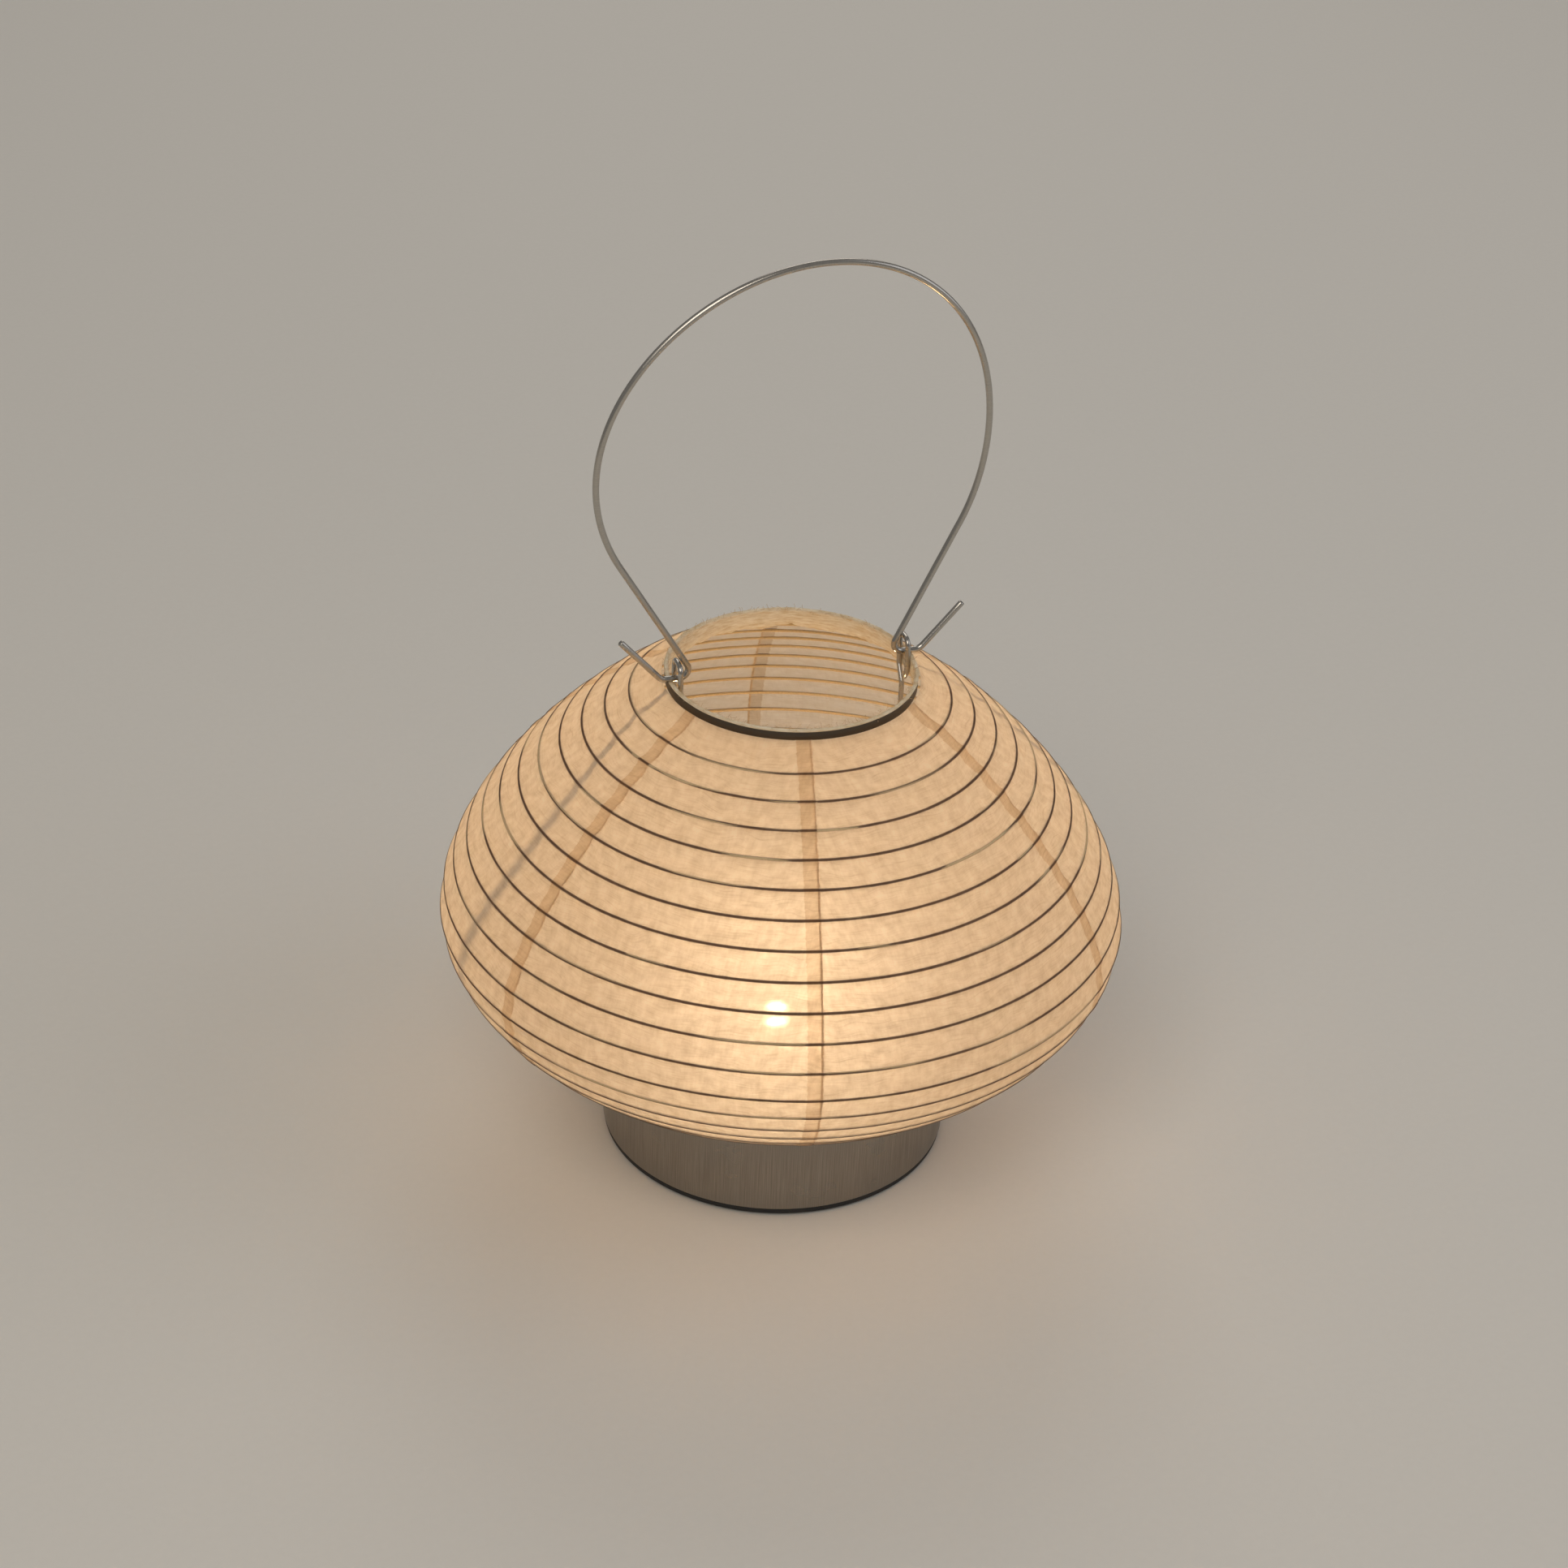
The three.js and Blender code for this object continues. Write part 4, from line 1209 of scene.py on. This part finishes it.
# Where the screw posts and the foot pads stand, in degrees.
POSTS = (90, 210, 330)
PADS = (45, 135, 225, 315)


@dataclass
class Base:
    """The drawn shell, the moulded tray and door, and what fastens them."""

    radius: float = 62 * MM
    wall: float = 0.8 * MM
    skirt: float = 3.3 * MM
    shoulder: float = 38.5 * MM
    neck: float = 57.2 * MM
    deck: float = 43 * MM
    lamp_hole: float = 9 * MM
    post_circle: float = 48 * MM
    post_hole: float = 1.8 * MM
    grommet_hole: float = 3 * MM
    upright_x: float = 40.2 * MM
    pad_circle: float = 53 * MM
    pad_radius: float = 4.5 * MM
    pad_height: float = 2.2 * MM
    gap: float = 0.3 * MM
    screw_y: float = 35.8 * MM

    def on_circle(self, circle: float, degrees: tuple[float, ...]) -> Outline:
        """Give points on a circle about the middle of the base."""
        return [(circle * math.cos(math.radians(a)), circle * math.sin(math.radians(a))) for a in degrees]

    def shell(self) -> Piece:
        """Draw the steel shell with a soft shoulder and its deck holes."""
        r, w = self.radius, self.wall
        outline = [
            (r, self.skirt), (r, self.shoulder), (self.neck, self.shoulder), (self.neck, self.deck),
            (self.lamp_hole, self.deck), (self.lamp_hole, self.deck - w), (self.neck - w, self.deck - w),
            (self.neck - w, self.shoulder - w), (r - w, self.shoulder - w), (r - w, self.skirt),
        ]
        outline = rounded(outline, 1.5 * MM, 6, skip=(0, 4, 5, 9))
        shell = lathe("base_shell_steel", outline, SHELL_STEEL, 192)
        rims = [disc(x, y, self.post_hole, 24) for x, y in self.on_circle(self.post_circle, POSTS)]
        rims += [disc(x, 0, self.grommet_hole, 32) for x in (-self.upright_x, self.upright_x)]
        reach = 3 * MM
        holes = [prism("hole", rim, self.deck - reach, self.deck + reach, SHELL_STEEL) for rim in rims]
        return sharpen(cut(shell, *holes), 32)

    def tray(self) -> Piece:
        """Mould the tray: flange, spigot, battery bay, screw posts, sockets and pad recesses."""
        bottom, floor, flange = 1 * MM, 4.5 * MM, 61.7 * MM
        spigot = self.radius - self.wall - self.gap
        outline = [
            (0, bottom), (flange, bottom), (flange, 3 * MM), (spigot, 3 * MM), (spigot, 9 * MM),
            (spigot - 1.5 * MM, 9 * MM), (spigot - 1.5 * MM, floor), (0, floor),
        ]
        tray = lathe("bottom_tray_moulding", rounded(outline, 0.5 * MM, 3, skip=(0, 7)), TRAY_ABS, 160)
        sockets = ((-self.upright_x, 0.0), (self.upright_x, 0.0))
        posts = self.on_circle(self.post_circle, POSTS)
        # Each block grows from inside the floor to its top, in mm.
        blocks = [(oblong_mm(24.7, 31, 1.2), 20.1)]
        blocks += [(disc(x, y, 3.3 * MM), 41.9) for x, y in posts]
        blocks += [(disc(x, y, 3.3 * MM), 38) for x, y in sockets]
        blocks.append((disc(0, self.screw_y, 3.6 * MM), 13))
        added = [prism("add", outline, floor - 1 * MM, top * MM, TRAY_ABS) for outline, top in blocks]
        cut(tray, *added, join=True)
        # Each hollow runs from its bottom to its top, in mm.
        hollows = [
            (oblong_mm(23.2, 29.5, 0.8), 0, 18.6), (self.door_outline(self.gap), 0, 3.3),
            (disc(0, self.screw_y, self.post_hole), 2, 11.5), (oblong_mm(4.6, 1.9, 0.6, -45), 0, 5.5),
        ]
        hollows += [(disc(x, y, self.post_hole, 24), 32, 43) for x, y in posts]
        hollows += [(disc(x, y, 1.2 * MM, 24), 7.7, 39) for x, y in sockets]
        hollows += [(disc(x, y, 4.8 * MM, 40), 0, 2.5) for x, y in self.on_circle(self.pad_circle, PADS)]
        tools = [prism("cut", outline, low * MM, high * MM, TRAY_ABS) for outline, low, high in hollows]
        return sharpen(softened(cut(tray, *tools), 0.25 * MM, 2, 50), 40)

    def door_outline(self, margin: float) -> Outline:
        """Give the battery door's outline, grown by a margin: a rectangle with a screw tab."""
        x, y, tab_x, tab_y = (v * MM + margin for v in (26, 33, 6, 40))
        tab = [(tab_x, y), (tab_x, tab_y), (-tab_x, tab_y), (-tab_x, y)]
        return rounded([(-x, -y), (x, -y), (x, y), *tab, (-x, y)], 1.2 * MM, 4)

    def door(self) -> Piece:
        """Mould the battery door with its counterbore and a ribbed grip."""
        door = prism("battery_door_cover", self.door_outline(0.0), 1 * MM, 3 * MM, TRAY_ABS)
        hollows = [(disc(0, self.screw_y, self.post_hole), 4), (disc(0, self.screw_y, 3.1 * MM, 40), 2.2)]
        hollows += [(oblong_mm(9, 0.55, 0.5, -26.45 + 2.4 * k), 1.45) for k in range(6)]
        tools = [prism("cut", outline, 0, top * MM, TRAY_ABS) for outline, top in hollows]
        return sharpen(softened(cut(door, *tools), 0.22 * MM, 2, 50), 40)

    def screw_pattern(self, seat: float, tip: float, head: float, height: float) -> Piece:
        """Turn one pan-head screw with a cross recess, upright on the axis.

        Args:
            seat: Height of the underside of its head.
            tip: Height of its tip.
            head: Radius of its head.
            height: Height of its head.

        Returns:
            The screw.
        """
        shank = 1.5 * MM
        outline = [(0, tip), (0.3 * MM, tip), (shank, tip + 2 * MM)]
        z, pitch = tip + 2 * MM, 0.9 * MM
        root = shank - 0.32 * MM
        while z < seat - 1.2 * MM:
            outline += [(shank, z + pitch * 0.15), (root, z + pitch * 0.5), (shank, z + pitch * 0.85)]
            z += pitch
        outline += [(shank, seat), (head * 0.9, seat), (head, seat + 0.15 * MM)]
        outline.append((head, seat + height * 0.45))
        pan = ((0.96, 0.66), (0.85, 0.84), (0.65, 0.95), (0.4, 1.0), (0.0, 1.0))
        outline += [(head * c, seat + height * h) for c, h in pan]
        screw = lathe("screw_pattern", outline, SCREW_ZINC, 28)
        half, long, top = 0.3 * MM, head * 0.62, seat + height
        slots = (oblong(-long, -half, long, half), oblong(-half, -long, half, long))
        recess = [prism("cut", slot, top - 0.9 * MM, top + 1 * MM, SCREW_ZINC) for slot in slots]
        cut(recess[0], recess[1], join=True)
        return sharpen(cut(screw, recess[0]), 32)

    def copies_tree(self) -> bpy.types.NodeTree:
        """Build the tree that sets copies of a pattern piece evenly round a circle."""
        sizes = {"Circle": "Float", "First": "Float"}
        nodes = node_group("copies_round_circle", Pattern="Object", Count="Int", **sizes, Finish="Material")
        given = nodes.add("NodeGroupInput").outputs
        circle = nodes.add("GeometryNodeMeshCircle", {"Vertices": given["Count"], "Radius": given["Circle"]})
        turned = nodes.moved(circle, Rotation=nodes.along_z(given["First"]))
        pattern = nodes.add("GeometryNodeObjectInfo", {"Object": given["Pattern"]}).outputs["Geometry"]
        index = nodes.add("GeometryNodeInputIndex")
        spin = nodes.along_z(nodes.add("ShaderNodeMath", {0: index, 1: 0.73}, operation="MULTIPLY"))
        values = {"Points": turned, "Instance": pattern, "Rotation": spin}
        return nodes.finished(nodes.add("GeometryNodeInstanceOnPoints", values), given["Finish"])

    def pad_pattern(self) -> Piece:
        """Turn one foot pad with a soft edge and a dished foot."""
        r, h = self.pad_radius, self.pad_height
        outline = [(0, 0.25 * MM), (r - 1.6 * MM, 0.25 * MM), (r - 1.2 * MM, 0), (r, 0), (r, h), (0, h)]
        return lathe("pad_pattern", rounded(outline, 0.4 * MM, 3, skip=(0, 5)), PAD_RUBBER, 36)

    def grommet(self, side: str) -> Piece:
        """Turn one rubber grommet, waisted where the deck grips it, about its upright."""
        low, high, size = box_size(f"grommet_{side}")
        bore, body, flange = 1.2 * MM, 2.7 * MM, size.y / 2
        seat = self.deck + self.gap
        outline = [(bore, low.z), (body, low.z), (body, seat), (flange, seat)]
        outline = rounded([*outline, (flange, high.z), (bore, high.z)], 0.5 * MM, 4)
        middle = ((low.x + high.x) / 2, 0, 0)
        return sharpen(lathe(f"grommet_{side}_rubber", outline, PAD_RUBBER, 40, middle))

    def build(self) -> None:
        """Make the base's pieces and set what each rides on."""
        tree = self.copies_tree()
        made = [
            (self.shell(), ("base_shell",), "base_steel"),
            (self.tray(), ("bottom_tray",), "black_abs"),
            (self.door(), ("battery_door",), "black_abs"),
        ]
        screw = self.screw_pattern(self.deck + self.gap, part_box("deck_screw_1")[0].z, 2.8 * MM, 1.7 * MM)
        sets = (
            ("deck_screws", screw, self.post_circle, POSTS, SCREW_ZINC, "zinc"),
            ("foot_pads", self.pad_pattern(), self.pad_circle, PADS, PAD_RUBBER, "rubber"),
        )
        for name, pattern, circle, angles, finish, slot in sets:
            values = {
                "Pattern": pattern, "Count": len(angles), "Circle": circle, "First": math.radians(angles[0]),
                "Finish": finish.material(),
            }
            nodes = tuple(f"{name[:-1]}_{k + 1}" for k in range(len(angles)))
            made.append((grown(name, tree, values), nodes, slot))
            bpy.data.objects.remove(pattern)
        door_screw = self.screw_pattern(0, -8 * MM, 2.7 * MM, 1 * MM)
        door_screw.name = "door_screw_pan"
        turned = Matrix.Rotation(math.pi, 4, "X")
        door_screw.data.transform(Matrix.Translation((0, self.screw_y, 1.9 * MM)) @ turned)
        made.append((door_screw, ("door_screw",), "zinc"))
        for side in ("left", "right"):
            made.append((self.grommet(side), (f"grommet_{side}",), "rubber"))
        for piece, nodes, slot in made:
            mount(piece, "base", slot, *nodes)
            LOG.info("%s: %d faces", piece.name, len(piece.data.polygons))


# ------------------------------------------------------------------ lamp and power


@dataclass
class Lamp:
    """The clear dome, the lamp on its board, and the light that it gives."""

    flange: float = 13 * MM
    flange_top: float = 44.5 * MM
    seat: float = 43.3 * MM
    dome: float = 8.6 * MM
    dome_top: float = 52 * MM
    wall: float = 0.8 * MM
    die_half: float = 1.1 * MM

    def cover(self) -> Piece:
        """Turn the clear dome and its flange."""
        rise = self.dome_top - self.flange_top
        angles = np.linspace(0, QUARTER, 14)
        outer = [(self.dome * math.cos(a), self.flange_top + rise * math.sin(a)) for a in angles]
        outer[-1] = (0.0, self.dome_top)
        bore, drop = self.dome - self.wall, rise - self.wall
        inner = [(bore * math.cos(a), self.flange_top + drop * math.sin(a)) for a in angles]
        inner[-1] = (0.0, self.dome_top - self.wall)
        edge, seat, top = self.flange, self.seat, self.flange_top
        rim = [
            (bore, seat), (edge - 0.2 * MM, seat), (edge, seat + 0.2 * MM), (edge, top - 0.3 * MM),
            (edge - 0.3 * MM, top),
        ]
        return lathe("dome_cover", [*reversed(inner), *rim, *outer], DOME_CLEAR, 72)

    def bulb(self) -> Piece:
        """Turn the small lit bulb that stands in the housing's well."""
        low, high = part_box("led_package")
        foot, r = high.z - 0.4 * MM, self.die_half
        outline = [(0.0, foot), (r, foot)]
        outline += [(r * math.cos(a), high.z + r * math.sin(a)) for a in np.linspace(0, QUARTER, 7)[:-1]]
        outline.append((0.0, high.z + r))
        middle = ((low.x + high.x) / 2, (low.y + high.y) / 2, 0.0)
        return lathe("lamp_phosphor_bulb", outline, PHOSPHOR, 16, middle)

    def housing(self) -> Piece:
        """Make the lamp's white housing with its dished well."""
        low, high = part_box("led_package")
        outline = oblong(low.x, low.y, high.x, high.y, 0.3 * MM)
        body = prism("lamp_housing", outline, low.z, high.z, LAMP_CERAMIC)
        x, y = (low.x + high.x) / 2, (low.y + high.y) / 2
        reach = self.die_half + 0.05 * MM
        mouth = oblong(x - reach, y - reach, x + reach, y + reach, 0.8 * MM)
        well = prism("cut", mouth, high.z - 0.5 * MM, high.z + 1 * MM, LAMP_CERAMIC)
        return sharpen(cut(body, well), 32)

    def board(self) -> Piece:
        """Make the round board with a softened edge."""
        low, high, size = box_size("circuit_board")
        outline = [(0, low.z), (size.x / 2, low.z), (size.x / 2, high.z), (0, high.z)]
        return sharpen(lathe("lamp_board", rounded(outline, 0.15 * MM, 2, skip=(0, 3)), BOARD_MASK, 64))

    def build(self) -> None:
        """Make the lamp's pieces and set what each rides on."""
        made = [
            (self.cover(), ("diffuser_dome",), "lens"),
            (self.housing(), ("led_package",), "white_plastic"),
            (self.bulb(), (), "lens"),
            (self.board(), ("circuit_board",), "board"),
        ]
        for piece, nodes, slot in made:
            mount(piece, "base", slot, *nodes)
        LOG.info("lamp made")


@dataclass
class Power:
    """The three dry cells, their contacts and leads, and the slide switch."""

    cell_radius: float = 7.1 * MM
    cell_length: float = 50.5 * MM
    nub_radius: float = 2.7 * MM
    nub_length: float = 1.2 * MM
    lead_radius: float = 0.7 * MM
    lead_bend: float = 3 * MM

    def cell(self, number: int) -> Piece:
        """Turn one dry cell: a sleeved can, a crimped shoulder, a nub and a flat end.

        Args:
            number: Its place in the bay, from 1.

        Returns:
            The cell along Y, with its sleeve and its plated ends.
        """
        low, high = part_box(f"battery_cell_{number}")
        sign = 1 if number != 2 else -1
        r, length = self.cell_radius, self.cell_length
        nub, can = self.nub_radius, length - self.nub_length
        outline = [
            (0, 0), (r - 1.3 * MM, 0), (r - 1.1 * MM, 0.25 * MM), (r - 0.5 * MM, 0.25 * MM), (r, 0.7 * MM),
            (r, can - 1.1 * MM), (r - 0.9 * MM, can - 0.2 * MM), (r - 1.6 * MM, can - 0.7 * MM),
            (nub + 0.6 * MM, can - 0.5 * MM), (nub, can), (nub, length - 0.3 * MM), (nub - 0.4 * MM, length),
            (0, length),
        ]
        cell = lathe(f"dry_cell_{number}", outline, CELL_SLEEVE, 56)
        cell.data.materials.append(CELL_NICKEL.material())
        inner = r - 0.7 * MM
        for face in cell.data.polygons:
            spread = max(math.hypot(*cell.data.vertices[v].co.xy) for v in face.vertices)
            if spread < inner:
                face.material_index = 1
        middle = ((low.x + high.x) / 2, (low.z + high.z) / 2)
        start = low.y if sign > 0 else high.y
        turn = Matrix.Rotation(-sign * QUARTER, 4, "X")
        cell.data.transform(Matrix.Translation((middle[0], start, middle[1])) @ turn)
        return sharpen(cell, 40)

    def lead(self, name: str, corners: list[Point], finish: Finish) -> Piece:
        """Lay one insulated lead inside the base."""
        points = [(x * MM, y * MM, z * MM) for x, y, z in corners]
        path = spaced(bent(points, self.lead_bend, 8), 3 * MM)
        return sweep(name, path, self.lead_radius, finish, 12, tip=0.3)

    def build(self) -> None:
        """Make the cells and leads, and dress the pieces whose shape is already right."""
        for number in (1, 2, 3):
            mount(self.cell(number), "base", "cell_wrap", f"battery_cell_{number}")
        plus_mm = [(15, 33, 12), (15, 33, 27), (5, 5, 27), (5, 5, 40.3)]
        minus_mm = [(-4, -45, 12), (-4, -45, 27), (-5, -5, 27), (-5, -5, 40.3)]
        leads = (
            ("lead_positive", plus_mm, LEAD_RED, "lead_red"),
            ("lead_negative", minus_mm, LEAD_BLACK, "lead_black"),
        )
        for node, corners, finish, slot in leads:
            mount(self.lead(f"{node}_insulated", corners, finish), "base", slot, node)
        contacts = ("contact_positive", "contact_bridge_rear", "contact_bridge_front", "contact_negative")
        kept = {name: CONTACT_BRASS for name in contacts}
        kept |= {"switch_body": TRAY_ABS, "switch_slider": SLIDER_ACETAL}
        for node, finish in kept.items():
            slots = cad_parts[node].data.materials
            slots.clear()
            slots.append(finish.material())
        LOG.info("power made")


# ------------------------------------------------------------------ studio


@dataclass
class Studio:
    """The floor, the soft lights and the camera."""

    azimuth: float = math.radians(-19)
    elevation: float = math.radians(31.0)
    roll: float = math.radians(2.5)
    aim: Point = (-0.0044, -0.12, 1.194)
    lens: float = 36 * 4000 / 1932
    floor_half: float = 4.0
    key: float = 18
    fill: float = 7
    sky: float = 0.24

    def floor(self) -> Piece:
        """Lay the floor."""
        edge = self.floor_half
        verts = np.array([(-edge, -edge, 0), (edge, -edge, 0), (edge, edge, 0), (-edge, edge, 0)])
        floor = new_piece("studio_floor", verts, [(0, 1, 2, 3)], FLOOR_PAINT)
        return floor

    def camera(self) -> Piece:
        """Set the camera at its viewing angle, a little rolled."""
        a, e, roll = self.azimuth, self.elevation, self.roll
        forward = Vector((-math.sin(a) * math.cos(e), math.cos(a) * math.cos(e), -math.sin(e)))
        level = Vector((math.cos(a), math.sin(a), 0))
        rise = level.cross(forward).normalized()
        right = level * math.cos(roll) + rise * math.sin(roll)
        up = rise * math.cos(roll) - level * math.sin(roll)
        along_right, along_up, along_forward = self.aim
        place = -(right * along_right + up * along_up + forward * along_forward)
        data = bpy.data.cameras.new("camera")
        data.lens = self.lens
        data.clip_start = 0.01
        data.clip_end = 50
        camera = bpy.data.objects.new("camera", data)
        bpy.context.scene.collection.objects.link(camera)
        turn = Matrix((right, up, -forward)).transposed().to_4x4()
        camera.matrix_world = Matrix.Translation(place) @ turn
        bpy.context.scene.camera = camera
        return camera

    def light(self, name: str, place: Point, size: float, power: float, colour: str) -> None:
        """Hang one square soft light that looks at the middle of the lantern."""
        data = bpy.data.lights.new(name, "AREA")
        data.shape = "SQUARE"
        data.size = size
        data.energy = power
        data.color = linear(colour)[:3]
        light = bpy.data.objects.new(name, data)
        bpy.context.scene.collection.objects.link(light)
        aim = (Vector((0, 0, 0.12)) - Vector(place)).to_track_quat("-Z", "Y")
        light.matrix_world = Matrix.Translation(place) @ aim.to_matrix().to_4x4()

    def build(self) -> None:
        """Make the studio."""
        scene = bpy.context.scene
        scene.view_settings.view_transform = "Standard"
        scene.view_settings.look = "None"
        self.floor()
        self.camera()
        self.light("key_light", (-1.0, -1.5, 1.9), 1.3, self.key, "#fff7ec")
        self.light("fill_light", (1.7, -0.8, 1.2), 1.6, self.fill, "#f3f6ff")
        self.light("rear_light", (0.6, 1.8, 1.6), 1.2, self.fill, "#fff9f2")
        world = bpy.data.worlds.new("studio_air")
        world.use_nodes = True
        world.node_tree.nodes.clear()
        nodes = Nodes(world.node_tree)
        air = nodes.add("ShaderNodeBackground", {"Color": linear("#f4f2ef"), "Strength": self.sky})
        nodes.add("ShaderNodeOutputWorld", {"Surface": air})
        scene.world = world
        LOG.info("studio made")


def main() -> None:
    """Build the lantern and its studio."""
    logging.basicConfig(level=logging.INFO, format="%(message)s")
    Studio().build()
    Shade().build()
    Wirework().build()
    Base().build()
    Lamp().build()
    Power().build()


if __name__ == "__main__":
    main()
